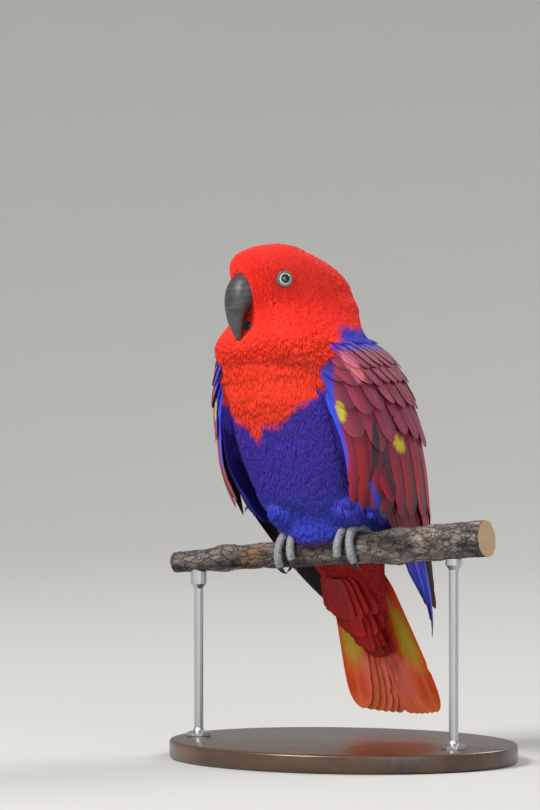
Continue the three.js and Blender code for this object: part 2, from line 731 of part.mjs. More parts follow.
const figure = new THREE.Group();
figure.position.copy(BASE_CENTRE).negate();
for (const [name, shape, color, roughness] of parts) {
  const metalness = color === PAINT.steel ? 0.9 : 0;
  const material = new THREE.MeshStandardMaterial({ color, roughness, metalness });
  const mesh = new THREE.Mesh(geometryOf(shape), material);
  mesh.name = name;
  figure.add(mesh);
}

const group = new THREE.Group();
group.add(figure);

export default group;
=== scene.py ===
"""A female eclectus parrot on a perch: its skin, plumage, bill, eyes, feet, branch and stand.

The body's and wings' surfaces are the ones that the solids have, so every feather grows from its place.
Sizes are millimetres in the perch's frame, whose origin is the middle of the perch, and place() brings
them to metres in the frame of the solids. Sizes given straight to Blender are in metres.
"""

import json
import math

import bmesh
import bpy
import numpy as np
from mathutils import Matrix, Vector
from mathutils.bvhtree import BVHTree

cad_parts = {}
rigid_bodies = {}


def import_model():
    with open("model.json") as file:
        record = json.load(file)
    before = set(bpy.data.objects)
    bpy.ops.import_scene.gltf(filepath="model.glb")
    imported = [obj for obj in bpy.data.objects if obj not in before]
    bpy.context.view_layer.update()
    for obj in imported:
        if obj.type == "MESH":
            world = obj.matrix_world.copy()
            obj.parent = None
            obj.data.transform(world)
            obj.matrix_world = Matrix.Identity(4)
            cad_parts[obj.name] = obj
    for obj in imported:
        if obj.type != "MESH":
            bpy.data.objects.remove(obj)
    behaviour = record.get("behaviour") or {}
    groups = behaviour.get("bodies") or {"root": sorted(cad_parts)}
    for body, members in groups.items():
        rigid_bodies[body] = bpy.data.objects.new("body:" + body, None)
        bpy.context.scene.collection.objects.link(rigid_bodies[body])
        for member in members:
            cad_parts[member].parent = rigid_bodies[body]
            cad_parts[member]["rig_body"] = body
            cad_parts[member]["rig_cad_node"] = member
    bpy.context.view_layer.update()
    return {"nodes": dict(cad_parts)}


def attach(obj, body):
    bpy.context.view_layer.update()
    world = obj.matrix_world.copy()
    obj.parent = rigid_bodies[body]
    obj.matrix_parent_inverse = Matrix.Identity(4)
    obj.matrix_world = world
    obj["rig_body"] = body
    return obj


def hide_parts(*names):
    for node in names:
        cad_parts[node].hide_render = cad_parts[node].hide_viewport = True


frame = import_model()

# Sizes of the figure

ORIGIN = np.array([-10.0, -17.0, 134.0])  # the perch's middle, from the middle of the base's underside
MM = 0.001
HEAD_TURN = 27
HEAD_CENTRE = np.array([-2.0, -25.0, 167.0])
EYE_RADIUS = 6.0
EYE_OPENING = 4.1
EYE_ANGLE = 1.3  # round the head from straight ahead
TAIL_LENGTH = 128
TAIL_LEAN = math.radians(29)
TAIL_ROOT = np.array([0.0, 42.0, 0.0])
VANE_STEP = 1.12
ROOT_SINK = 2.4
PERCH_RADIUS = 9.4
PERCH_RIPPLE = 0.03
PERCH_TURN = math.radians(4)
PERCH_RISE = math.radians(5.2)
FOOT_PLACES = {1: 29, -1: -15.5}  # along the perch, by side
TOE_RADIUS = 2.9
CLAW_LENGTH = 11
COAT_DEPTH = 1.8  # of the skin under the solids' surface
BASE_SIZE = (236, 196, 12)
PIECE_LIMIT = 180_000  # triangles in one coat piece
SIDES = {"left": 1, "right": -1}
RNG = np.random.default_rng(11)


def place(points):
    return (np.asarray(points, float) + ORIGIN) * MM


# Surfaces of the body and the wings


def smooth_table(rows):
    """Reads a table whose first column falls, as a smooth function of that column."""
    table = np.array(rows[::-1], float)
    at, values = table[:, 0], table[:, 1:]
    last = len(at) - 1

    def read(z):
        z = np.clip(np.atleast_1d(np.asarray(z, float)), at[0], at[-1])
        i1 = np.clip(np.searchsorted(at, z, side="right"), 1, last)
        i0 = i1 - 1
        before = np.where(i0 > 0, i0 - 1, i1)
        after = np.where(i1 < last, i1 + 1, i0)
        t0, t1 = at[i0], at[i1]
        half = (t1 - t0) / 2
        w0, w1 = (half / (t0 - at[before]))[:, None], (half / (at[after] - t1))[:, None]
        p = ((z - t0) / (t1 - t0))[:, None]
        p2, p3 = p**2, p**3
        return (
            (-w0 * p3 + 2 * w0 * p2 - w0 * p) * values[before]
            + ((1 + w0) * p3 + (-1.5 - 2 * w0) * p2 + (-0.5 + w0) * p + 1) * values[i0]
            + ((-1 - w1) * p3 + (1.5 + w1) * p2 + 0.5 * p) * values[i1]
            + (w1 * p3 - w1 * p2) * values[after]
        )

    return read


# Height, middle X, middle Y, half width, depth in front, depth behind, turn, squareness in front and behind.
TRUNK_ROWS = [
    (198.4, -6.5, -34, 0, 0, 0, HEAD_TURN, 2, 2),
    (197, -7, -34.7, 9, 10.5, 10, HEAD_TURN, 2, 2),
    (193.7, -7.2, -35.2, 15.5, 21, 19.5, HEAD_TURN, 2, 2),
    (190, -6.1, -33, 20, 29, 25, HEAD_TURN, 2.1, 2),
    (185.6, -4.7, -30.3, 23.2, 34, 30, HEAD_TURN, 2.5, 2.1),
    (180.5, -3.4, -27.7, 25.5, 36.5, 34.5, HEAD_TURN, 3, 2.1),
    (174, -2, -25, 26.5, 37.5, 38, HEAD_TURN, 3.5, 2.1),
    (167, -2, -25, 27.5, 36.5, 42, HEAD_TURN, 3.4, 2.1),
    (160, -2, -24.5, 29.5, 35, 45, 26, 3.1, 2.2),
    (153, -2, -24, 33.5, 34, 46, 23, 3, 2.2),
    (146, -1.5, -22, 39, 36.5, 44, 19, 3.1, 2.2),
    (138, -1, -19, 45.5, 43, 42, 13, 3.1, 2.2),
    (130, -0.5, -16, 49.5, 47.5, 43, 7, 3, 2.2),
    (122, 0, -12, 52, 49, 43.5, 3, 2.8, 2.2),
    (110, 0, -7.5, 53.5, 49.5, 43.5, 0, 2.5, 2.2),
    (95, 0, -2.5, 55, 50, 43.5, 0, 2.4, 2.2),
    (75, 0, 3.5, 55, 48, 43, 0, 2.4, 2.2),
    (55, 0, 9.5, 52.5, 45.5, 40, 0, 2.35, 2.2),
    (35, 0, 17, 47.5, 43, 35, 0, 2.25, 2.2),
    (20, 0, 24.5, 41.5, 41, 30, 0, 2.2, 2.1),
    (6, 0, 31, 34, 42.5, 25, 0, 2.1, 2),
    (-4, 0, 37, 27, 33, 20, 0, 2, 2),
    (-14, 0, 43, 24, 23, 15, 0, 2, 2),
    (-30, 0, 52, 20, 15, 9, 0, 2, 2),
    (-50, 0, 63, 14, 9, 5, 0, 2, 2),
    (-64, 0, 70.5, 0, 0, 0, 0, 2, 2),
]
trunk_sections = smooth_table(TRUNK_ROWS)
wing_sections = smooth_table([
    (145, 0, -21, 41, 38, 42, 0, 2.3, 2.3),
    (136, 0, -18, 48, 43, 43, 0, 2.35, 2.35),
    (128, 0, -13.5, 53.5, 45, 47, 0, 2.4, 2.4),
    (113, 0, -7, 58.5, 50, 52, 0, 2.5, 2.5),
    (95, 0, -2, 61.5, 53, 55.5, 0, 2.6, 2.6),
    (75, 0, 3.6, 63, 52, 56.5, 0, 2.7, 2.7),
    (55, 0, 8, 62.5, 50, 56.5, 0, 2.8, 2.8),
    (40, 0, 13, 61, 46, 54.5, 0, 2.8, 2.8),
    (27, 0, 19.5, 58, 42, 51.5, 0, 2.9, 2.9),
    (10, 0, 27, 54.5, 36, 50, 0, 3, 3),
    (-10, 0, 37, 50, 30, 47, 0, 3, 3),
    (-30, 0, 50, 46.5, 27, 43, 0, 3, 3),
    (-47, 0, 63, 42.5, 25, 36, 0, 3, 3),
    (-62, 0, 76, 37, 22, 27, 0, 3, 3),
])
# Height, and how far round from the middle of the back the wing ends.
leading_edge = smooth_table([
    (138, 114), (128, 131), (97, 150), (60, 146), (40, 141), (28, 134), (20, 118), (10, 100), (0, 87),
    (-20, 73), (-43, 57), (-62, 44),
])
back_edge = smooth_table([(138, 34), (110, 12), (90, 7), (0, 8), (-20, 14), (-43, 28), (-62, 34)])


def on_section(section, z, angle):
    """Points on level sections. The angle is 0 in front and a quarter turn on the bird's left."""
    x, y, half, front, behind, turn, square_front, square_behind = np.moveaxis(section, -1, 0)
    ahead = np.cos(angle) > 0
    power = 2 / np.where(ahead, square_front, square_behind)
    rounded = lambda v: np.sign(v) * np.abs(v) ** power
    side = half * rounded(np.sin(angle))
    depth = np.where(ahead, front, behind) * rounded(np.cos(angle))
    yaw = np.radians(turn)
    east = x + side * np.cos(yaw) - depth * np.sin(yaw)
    north = y - side * np.sin(yaw) - depth * np.cos(yaw)
    return np.stack([east, north, z + 0 * east], -1)


def unit(v):
    return v / np.maximum(np.linalg.norm(v, axis=-1, keepdims=True), 1e-9)


def wing_point(z, reach):
    """Points of the left wing's outer face, by height and by distance from the middle of the back."""
    z, reach = np.broadcast_arrays(np.asarray(z, float), np.asarray(reach, float))
    flat_z, flat_reach = z.ravel(), reach.ravel()
    angles = np.pi * (1 - np.arange(73) / 72)
    line = on_section(wing_sections(flat_z)[:, None, :], flat_z[:, None], angles[None, :])
    strides = np.linalg.norm(np.diff(line, axis=1), axis=2)
    walked = np.concatenate([np.zeros((len(flat_z), 1)), strides.cumsum(1)], 1)
    i = np.clip((walked <= flat_reach[:, None]).sum(1) - 1, 0, 71)
    n = np.arange(len(flat_z))
    share = np.clip((flat_reach - walked[n, i]) / strides[n, i], 0, 1)[:, None]
    return (line[n, i] * (1 - share) + line[n, i + 1] * share).reshape(z.shape + (3,))


def wing_surface(z, reach):
    slope_z = wing_point(z + 0.5, reach) - wing_point(z - 0.5, reach)
    slope_reach = wing_point(z, reach + 0.5) - wing_point(z, reach - 0.5)
    return wing_point(z, reach), unit(np.cross(slope_z, slope_reach))


TAIL_DOWN = np.array([0, math.sin(TAIL_LEAN), -math.cos(TAIL_LEAN)])
TAIL_OUT = np.array([0, math.cos(TAIL_LEAN), math.sin(TAIL_LEAN)])


def tail_surface(sideways, down):
    sag = 0.0035 * sideways**2
    point = TAIL_ROOT + sideways[..., None] * np.array([1, 0, 0]) + down[..., None] * TAIL_DOWN
    return point - sag[..., None] * TAIL_OUT, np.broadcast_to(TAIL_OUT, point.shape)


PERCH_ALONG = unit(np.array([math.cos(PERCH_TURN), math.sin(PERCH_TURN), math.tan(PERCH_RISE)]))
PERCH_FRONT = np.array([math.sin(PERCH_TURN), -math.cos(PERCH_TURN), 0])
PERCH_UP = np.cross(PERCH_FRONT, PERCH_ALONG)
KNOTS = [(-66, 1.7, 7), (60, 2, 8), (92, 1.3, 6)]  # place along, height and length of each swelling
PERCH_TAPER = 0.022  # growth of the radius along the perch


def perch_radius(along):
    swelling = sum(s * math.exp(-(((along - a) / w) ** 2)) for a, s, w in KNOTS)
    return PERCH_RADIUS + PERCH_TAPER * along + swelling


def perch_point(along, turn, radius):
    """A point by its place along the perch, its turn from the top to the front, and its distance out."""
    return PERCH_ALONG * along + PERCH_UP * math.cos(turn) * radius + PERCH_FRONT * math.sin(turn) * radius


FORWARD = np.array([-math.sin(math.radians(HEAD_TURN)), -math.cos(math.radians(HEAD_TURN)), 0])
LEFTWARD = np.array([math.cos(math.radians(HEAD_TURN)), -math.sin(math.radians(HEAD_TURN)), 0])


def head_point(forward, leftward, up):
    """A point by its distances forward, to the bird's left and up from the head's middle."""
    return HEAD_CENTRE + FORWARD * forward + LEFTWARD * leftward + np.array([0, 0, up])


def eye_seat(side):
    """Middle of an eye, the direction it looks in, and how far its opening lies from its middle."""
    height, angle = HEAD_CENTRE[2] + 7.7, side * EYE_ANGLE
    at = lambda z, a: on_section(trunk_sections(z)[0], z, a)
    slope_z = at(height + 0.4, angle) - at(height - 0.4, angle)
    slope_a = at(height, angle + 0.03) - at(height, angle - 0.03)
    out = -unit(np.cross(slope_z, slope_a))
    depth = math.sqrt(EYE_RADIUS**2 - EYE_OPENING**2)
    return at(height, angle) + out * (0.4 - depth), out, depth


# Colours, linear, and where each lies

SCARLET = np.array([0.76, 0.018, 0.01])
ORANGE_RED = np.array([0.8, 0.07, 0.014])
VIOLET = np.array([0.042, 0.021, 0.33])
BLUE = np.array([0.022, 0.065, 0.52])
TEAL = np.array([0.006, 0.05, 0.1])
MAROON = np.array([0.21, 0.008, 0.028])
# Painted highlight colour: pink light on the maroon wing, painted into the feathers' colour.
PAINTED_PINK_HIGHLIGHT = np.array([0.6, 0.15, 0.19])
DARK = np.array([0.016, 0.014, 0.018])
DEEP_RED = np.array([0.38, 0.008, 0.01])
YELLOW_GREEN = np.array([0.54, 0.44, 0.015])
TIP_ORANGE = np.array([0.95, 0.19, 0.055])
SALMON = np.array([0.88, 0.2, 0.11])

# Where red gives way to violet: degrees round the body, positive on the bird's left, and height.
EDGE_DEGREES = [-90, -42, -30, -24, -17, -10, 4, 20, 33, 60, 90]
EDGE_HEIGHTS = [97, 93.5, 87, 81, 77, 87, 86, 98, 104, 108, 110]


def step(low, high, x):
    t = np.clip((x - low) / (high - low), 0, 1)
    return t * t * (3 - 2 * t)


def mix(a, b, share):
    share = np.asarray(share)[..., None]
    return a * (1 - share) + b * share


def body_angle(points):
    """Angle round the body: 0 in front, pi behind."""
    section = trunk_sections(points[:, 2])
    yaw = np.radians(section[:, 5])
    dx, dy = points[:, 0] - section[:, 0], points[:, 1] - section[:, 1]
    side = dx * np.cos(yaw) - dy * np.sin(yaw)
    depth = -dx * np.sin(yaw) - dy * np.cos(yaw)
    return np.arctan2(side, depth)


def markings(points, wander):
    """Plumage colour at points of the body. wander, about -1 to 1, frays the edges between colours."""
    signed, z = body_angle(points), points[:, 2]
    angle = np.abs(signed)
    front_edge = np.interp(np.degrees(signed), EDGE_DEGREES, EDGE_HEIGHTS) + 1.7 * wander
    red = mix(SCARLET, ORANGE_RED, step(150, 120, z) * 0.3 + 0.08)
    violet = mix(VIOLET, BLUE, step(60, 22, z) * 0.5 + step(1.3, 1.9, angle) * 0.3)
    front = mix(violet, red, step(-1.8, 1.8, z - front_edge))
    shoulder_edge = 68 + 2.2 * np.maximum(z - 132, 0)
    shoulder = step(-5, 5, np.degrees(angle) - shoulder_edge + 2 * wander) * step(150, 146, z)
    front = mix(front, mix(VIOLET, BLUE, 0.25), shoulder)
    back = mix(DEEP_RED, MAROON, step(10, 60, z))
    back = mix(back, violet, step(112, 122, z + 4 * wander))
    back = mix(back, red, step(-3, 3, z - 146 - 1.5 * wander))
    colour = mix(front, back, step(1.55, 1.95, angle))
    return mix(DEEP_RED, colour, step(2, 12, z + 3 * wander))


# Mesh making


def material_slot(piece, material):
    piece.data.materials.clear()
    piece.data.materials.append(material)


def deselect():
    bpy.ops.object.select_all(action="DESELECT")


def pick(piece):
    deselect()
    piece.select_set(True)
    bpy.context.view_layer.objects.active = piece


def finished(piece, name, material, slot, *nodes):
    """Names a piece and says what it rides on and the nodes it stands for. The slot is not used."""
    piece.name = name
    piece.data.name = name
    material_slot(piece, material)
    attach(piece, "root")
    if nodes:
        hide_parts(*nodes)
    return piece


def settled(piece):
    """Brings a piece's place, turn and size into its mesh."""
    pick(piece)
    bpy.ops.object.transform_apply(location=True, rotation=True, scale=True)
    return piece


def modified(piece, kind, **settings):
    """Adds a modifier to a piece and applies it."""
    pick(piece)
    modifier = piece.modifiers.new(kind.lower(), kind)
    for key, value in settings.items():
        setattr(modifier, key, value)
    bpy.ops.object.modifier_apply(modifier=modifier.name)
    return piece


def faced_out(piece, doubles=1e-6):
    """Merges a piece's doubled points and turns its faces outwards."""
    pick(piece)
    bpy.ops.object.mode_set(mode="EDIT")
    bpy.ops.mesh.select_all(action="SELECT")
    bpy.ops.mesh.remove_doubles(threshold=doubles)
    bpy.ops.mesh.normals_make_consistent(inside=False)
    bpy.ops.object.mode_set(mode="OBJECT")
    return piece


def smoothed(piece, degrees=180):
    pick(piece)
    bpy.ops.object.shade_smooth_by_angle(angle=math.radians(degrees))
    return piece


def merged(pieces, name):
    deselect()
    for piece in pieces:
        piece.select_set(True)
    bpy.context.view_layer.objects.active = pieces[0]
    bpy.ops.object.join()
    bpy.context.object.name = name
    return bpy.context.object


def mesh_piece(name, points, faces, attributes=(), uv=None):
    """A new object from points in metres, faces, and attributes with a value or a colour for each point."""
    mesh = bpy.data.meshes.new(name)
    if isinstance(faces, list):
        sizes = np.array([len(f) for f in faces])
        loops = np.concatenate(faces)
    else:
        sizes = np.full(len(faces), faces.shape[1])
        loops = faces.ravel()
    mesh.vertices.add(len(points))
    mesh.vertices.foreach_set("co", np.asarray(points, np.float32).ravel())
    mesh.loops.add(len(loops))
    mesh.loops.foreach_set("vertex_index", loops.astype(np.int32))
    mesh.polygons.add(len(sizes))
    mesh.polygons.foreach_set("loop_start", np.concatenate([[0], sizes.cumsum()[:-1]]).astype(np.int32))
    mesh.update(calc_edges=True)
    for key, values in dict(attributes).items():
        values = np.asarray(values, np.float32)
        if values.ndim == 2:
            layer = mesh.attributes.new(key, "FLOAT_COLOR", "POINT")
            rgba = np.concatenate([values, np.ones((len(values), 1), np.float32)], 1)
            layer.data.foreach_set("color", rgba.ravel())
        else:
            mesh.attributes.new(key, "FLOAT", "POINT").data.foreach_set("value", values)
    if uv is not None:
        layer = mesh.uv_layers.new(name="OFBake")
        layer.data.foreach_set("uv", np.asarray(uv, np.float32)[loops].ravel())
    mesh.validate()
    piece = bpy.data.objects.new(name, mesh)
    bpy.context.collection.objects.link(piece)
    return piece


def unwrap(points):
    """The skin's own unwrap: round the body and down its height, with its seam at the back."""
    angle = body_angle(points)
    return np.stack([angle / (2 * math.pi) + 0.5, np.clip((points[:, 2] + 70) / 275, 0, 1)], 1)


# Materials


class Value:
    """A socket that adds Math nodes for the sums written on it."""

    def __init__(self, finish, socket):
        self.finish, self.socket = finish, socket

    def joined(self, operation, first, second):
        return self.finish.node("Math", {"operation": operation}, [first, second]).value()

    def __add__(self, other):
        return self.joined("ADD", self, other)

    def __radd__(self, other):
        return self.joined("ADD", other, self)

    def __mul__(self, other):
        return self.joined("MULTIPLY", self, other)


class Node:
    """A shader node whose outputs can be read as values."""

    def __init__(self, finish, node):
        self.finish, self.node = finish, node

    def value(self, name=0):
        return Value(self.finish, self.node.outputs[name])


class Finish:
    """A material and the nodes that feed its shader."""

    def __init__(self, name, **constants):
        self.material = bpy.data.materials.new(name)
        self.material.use_nodes = True
        self.tree = self.material.node_tree
        self.shader = self.tree.nodes["Principled BSDF"]
        for key, value in constants.items():
            self.shader.inputs[key.replace("_", " ")].default_value = value
        self.place = self.node("TexCoord").value("Object")

    def node(self, kind, settings=(), sockets=()):
        made = self.tree.nodes.new("ShaderNode" + kind)
        for key, value in dict(settings).items():
            if key == "stops":
                for stop, (at, colour) in zip(self.stops(made, len(value)), value):
                    stop.position, stop.color = at, (*colour, 1)
            else:
                setattr(made, key, value)
        pairs = sockets.items() if isinstance(sockets, dict) else enumerate(sockets)
        for key, value in pairs:
            self.feed(made.inputs[key], value)
        return Node(self, made)

    @staticmethod
    def stops(ramp, count):
        elements = ramp.color_ramp.elements
        while len(elements) < count:
            elements.new(1)
        return elements

    def feed(self, socket, value):
        if isinstance(value, Value):
            self.tree.links.new(value.socket, socket)
        elif hasattr(value, "__len__") and len(value) == 3 and socket.type == "RGBA":
            socket.default_value = (*value, 1)
        else:
            socket.default_value = value

    def set(self, **fed):
        for key, value in fed.items():
            self.feed(self.shader.inputs[key.replace("_", " ")], value)
        return self

    def attribute(self, name, output="Fac"):
        return self.node("Attribute", {"attribute_name": name}).value(output)

    def noise(self, scale, detail=3, rough=0.55, at=None, stretch=None):
        at = at or self.place
        if stretch:
            at = self.node("Mapping", {}, {"Vector": at, "Scale": stretch}).value()
        sockets = {"Vector": at, "Scale": scale, "Detail": detail, "Roughness": rough}
        return self.node("TexNoise", {}, sockets).value("Fac")

    def ranged(self, value, low, high, to_low=0.0, to_high=1.0):
        return self.node("MapRange", {"clamp": True}, [value, low, high, to_low, to_high]).value()

    def blend(self, share, first, second, how="MIX"):
        """A mix of two colours. The node takes colours at sockets 6 and 7 and gives one at 2."""
        mixer = self.node("Mix", {"data_type": "RGBA", "blend_type": how})
        for key, value in ((0, share), (6, first), (7, second)):
            self.feed(mixer.node.inputs[key], value)
        return mixer.value(2)

    def shaded(self, colour, share):
        """A colour made lighter or darker by a value round 1."""
        grey = self.node("CombineXYZ", {}, [share, share, share]).value()
        return self.moved("MULTIPLY", [colour, grey])

    def cells(self, scale, feature, at=None):
        """Distance in a pattern of cells, from their middles or their edges."""
        sockets = {"Vector": at or self.place, "Scale": scale}
        return self.node("TexVoronoi", {"feature": feature}, sockets).value("Distance")

    def tint(self, colour):
        made = self.node("RGB")
        made.node.outputs[0].default_value = (*colour, 1)
        return made.value()

    def moved(self, operation, sockets):
        return self.node("VectorMath", {"operation": operation}, sockets).value()

    def sine(self, value):
        return self.node("Math", {"operation": "SINE"}, [value]).value()

    def bump(self, height, strength, distance=0.0004):
        sockets = {"Height": height, "Strength": strength, "Distance": distance}
        return self.node("Bump", {}, sockets).value("Normal")


def plumage_finish():
    """Fine body feathers: their own colour, lighter and darker strand by strand, and darker at each blade's
    root as painted shade.
    """
    finish = Finish("plumage", Roughness=0.6, Sheen_Weight=0.06, Sheen_Roughness=0.4, Specular_IOR_Level=0.22)
    tone = finish.attribute("tone")
    clumps = finish.noise(220, 3)
    fine = finish.noise(1500, 2)
    share = 0.86 + tone * 0.2 + clumps * 0.16 + fine * 0.08
    colour = finish.shaded(finish.attribute("pigment", "Color"), share)
    return finish.set(Base_Color=colour, Roughness=0.5 + clumps * 0.22).material


def vane_finish(name, shaft_colour, shaft_share):
    """Flight and covert feathers: barbs that run slantwise from the shaft, and the shaft's own colour."""
    finish = Finish(name, Roughness=0.42, Sheen_Weight=0.04, Sheen_Roughness=0.3, Specular_IOR_Level=0.34)
    barb = finish.attribute("barb")
    ridges = finish.sine(barb * 7.5)
    wear = finish.noise(130, 4)
    across = finish.node("CombineXYZ", {}, [barb * 1.3, finish.attribute("tone") * 9, 0.0]).value()
    streak = finish.noise(1.0, 2, at=across)
    shaft = finish.attribute("shaft")
    share = 0.5 + ridges * 0.05 + wear * 0.36 + streak * 0.62
    colour = finish.shaded(finish.attribute("pigment", "Color"), share)
    colour = finish.blend(shaft * shaft_share, colour, shaft_colour)
    normal = finish.bump(ridges * 0.5 + shaft * 2 + wear * 0.4, 0.3)
    return finish.set(Base_Color=colour, Roughness=0.36 + wear * 0.2, Normal=normal).material


def horn_finish(name, dark, pale, gloss):
    """Bill and claw: charcoal horn with growth lines, faint scuffs and a paler bloom."""
    finish = Finish(name, Roughness=gloss, Coat_Roughness=0.25, Specular_IOR_Level=0.55)
    lines = finish.noise(90, 4, stretch=(1, 1, 5))
    scuffs = finish.noise(700, 3, 0.7)
    bloom = finish.ranged(lines + scuffs * 0.3, 0.45, 0.9)
    colour = finish.blend(bloom, dark, pale)
    return finish.set(
        Base_Color=colour,
        Roughness=gloss + scuffs * 0.16,
        Coat_Weight=bloom * 0.12,
        Normal=finish.bump(lines + scuffs * 0.35, 0.3, 0.0003),
    ).material


def eye_finish():
    """Pupil, pale ring and darker rim, by distance from the eye's axis in millimetres."""
    finish = Finish("eye", Roughness=0.06, Coat_Weight=1.0, Coat_Roughness=0.02)
    ring = finish.attribute("ring")
    threads = finish.noise(2600, 3) * 0.35
    iris = finish.shaded(finish.tint((0.62, 0.6, 0.5)), 0.75 + threads)
    outer = finish.ranged(ring, 3.9, 4.3)
    colour = finish.blend(outer, iris, (0.05, 0.045, 0.05))
    colour = finish.blend(finish.ranged(ring, 3.12, 2.92), colour, (0.002, 0.002, 0.002))
    return finish.set(Base_Color=colour).material


def lid_finish():
    finish = Finish("lid_skin", Roughness=0.6)
    cells = finish.cells(1900, "F1")
    colour = finish.blend(finish.ranged(cells, 0.1, 0.7), (0.2, 0.2, 0.22), (0.07, 0.07, 0.08))
    return finish.set(Base_Color=colour, Normal=finish.bump(cells, 0.4, 0.0002)).material


def foot_finish():
    """Grey scaled skin: plates outlined in a darker grey, dusty in patches."""
    finish = Finish("foot_skin", Roughness=0.62, Specular_IOR_Level=0.4)
    plates = finish.ranged(finish.cells(520, "DISTANCE_TO_EDGE"), 0.0, 0.09)
    dust = finish.noise(160, 4)
    colour = finish.blend(plates, (0.1, 0.105, 0.115), (0.26, 0.27, 0.3))
    colour = finish.shaded(colour, 0.75 + dust * 0.5)
    normal = finish.bump(plates, 0.6, 0.0003)
    return finish.set(Base_Color=colour, Roughness=0.5 + dust * 0.25, Normal=normal).material


def bark_finish():
    """Weathered bark: long grey-brown furrows, ochre patches and pale pinkish-grey patches painted as
    highlights.
    """
    finish = Finish("bark", Roughness=0.9, Specular_IOR_Level=0.25)
    furrows = finish.noise(75, 6, 0.65, stretch=(0.25, 1, 1))
    grit = finish.noise(900, 4, 0.7)
    swirl = finish.node("TexNoise", {}, {"Vector": finish.place, "Scale": 420}).value("Color")
    bent = finish.moved("ADD", [finish.place, finish.moved("SCALE", {0: swirl, "Scale": 0.005})])
    along = finish.node("Mapping", {}, {"Vector": bent, "Scale": (0.35, 1, 1)}).value()
    cracks = finish.ranged(finish.cells(230, "DISTANCE_TO_EDGE", along), 0.0, 0.09)
    ochre = finish.ranged(finish.noise(28, 3), 0.58, 0.68)
    # Painted highlights: pale pinkish-grey patches of light on the bark.
    pale = finish.ranged(finish.noise(46, 4, 0.6, stretch=(0.5, 1, 1)), 0.55, 0.66)
    colour = finish.blend(finish.ranged(furrows, 0.34, 0.62), (0.014, 0.012, 0.011), (0.2, 0.165, 0.15))
    # Lays the painted highlights over the bark's colour.
    colour = finish.blend(pale * 0.75, colour, (0.46, 0.39, 0.37))
    colour = finish.blend(ochre * 0.55, colour, (0.24, 0.12, 0.05))
    colour = finish.shaded(colour, (0.4 + cracks * 0.6) * (0.65 + grit * 0.7))
    height = furrows * 1.2 + grit * 0.4 + cracks * 0.8
    return finish.set(Base_Color=colour, Normal=finish.bump(height, 0.9, 0.0014)).material


def cut_wood_finish():
    """A sawn end: rings round the branch's own middle, with drying cracks."""
    finish = Finish("cut_wood", Roughness=0.8)
    ring = finish.attribute("ring")
    rings = finish.sine((ring + finish.noise(160, 3) * 0.9) * 6.5)
    colour = finish.blend(finish.ranged(rings, -1, 1), (0.3, 0.19, 0.1), (0.5, 0.36, 0.21))
    saw = finish.noise(60, 3, stretch=(1, 1, 14))
    colour = finish.shaded(colour, 0.8 + saw * 0.4)
    return finish.set(Base_Color=colour, Normal=finish.bump(saw, 0.3)).material


def stained_wood_finish():
    finish = Finish("stained_wood", Roughness=0.35, Coat_Roughness=0.2)
    grain = finish.noise(26, 6, 0.6, stretch=(0.12, 1.6, 1))
    pores = finish.noise(420, 3, 0.6, stretch=(0.05, 1, 1))
    colour = finish.blend(finish.ranged(grain, 0.35, 0.65), (0.02, 0.009, 0.004), (0.085, 0.036, 0.015))
    colour = finish.shaded(colour, 0.75 + pores * 0.45)
    return finish.set(
        Base_Color=colour,
        Roughness=0.28 + pores * 0.2,
        Coat_Weight=0.4,
        Normal=finish.bump(grain * 0.5 + pores * 0.5, 0.15),
    ).material


def steel_finish():
    finish = Finish("satin_steel", Metallic=1.0, Roughness=0.32)
    brush = finish.noise(60, 3, stretch=(1, 1, 30))
    colour = finish.shaded(finish.tint((0.52, 0.53, 0.55)), 0.88 + brush * 0.2)
    return finish.set(Base_Color=colour, Roughness=0.24 + brush * 0.18).material


PLUMAGE = plumage_finish()
VANE = vane_finish("vane", (0.05, 0.014, 0.014), 0.3)
TAIL_VANE = vane_finish("tail_vane", (0.85, 0.4, 0.2), 0.45)

# Skin

SKIN_VOXEL = 0.0016


def grid_faces(rows, columns, wrap):
    """Quads of a grid of points, with the last column joined to the first if it wraps."""
    r, c = np.meshgrid(np.arange(rows - 1), np.arange(columns if wrap else columns - 1), indexing="ij")
    a, b = r * columns + c, r * columns + (c + 1) % columns
    return np.stack([a, b, b + columns, a + columns], -1).reshape(-1, 4)


def shell_faces(rows, columns):
    """Quads of a closed shell: an upper grid of points, a lower one after it, and the walls at its rim."""
    top = grid_faces(rows, columns, False)
    under = rows * columns
    near, far = np.arange(columns), (rows - 1) * columns + np.arange(columns - 2, -1, -1)
    right, left = np.arange(1, rows) * columns + columns - 1, np.arange(rows - 2, 0, -1) * columns
    rim = np.concatenate([near, right, far, left])
    onward = np.roll(rim, -1)
    walls = np.stack([rim, rim + under, onward + under, onward], -1)
    return np.concatenate([top, top[:, ::-1] + under, walls])


def trunk_mesh():
    """Body, neck and head: level rings, closer together near the crown, with a point at either end."""
    around = 96
    (crown, *over), (foot, *below) = TRUNK_ROWS[0][:3], TRUNK_ROWS[-1][:3]
    heights = np.concatenate([crown - 3.2 * np.linspace(0, 1, 8)[1:] ** 2, np.linspace(194, foot + 0.6, 110)])
    angles = np.linspace(0, 2 * math.pi, around, endpoint=False)
    zz, aa = np.meshgrid(heights, angles, indexing="ij")
    rings = on_section(trunk_sections(heights)[:, None, :], zz, aa)
    points = np.concatenate([rings.reshape(-1, 3), [[*over, crown], [*below, foot]]])
    faces = [list(f) for f in grid_faces(len(heights), around, True)]
    top, bottom, last = len(points) - 2, len(points) - 1, (len(heights) - 1) * around
    faces += [[top, (i + 1) % around, i] for i in range(around)]
    faces += [[bottom, last + i, last + (i + 1) % around] for i in range(around)]
    return mesh_piece("trunk_form", place(points), faces)


# Height, and how far the wing's core reaches out and in from the wing's surface.
wing_core_faces = smooth_table([(138, 0, -13), (100, 0, -11), (70, -0.2, -8), (40, -2.6, -6), (14, -5.5, -7)])


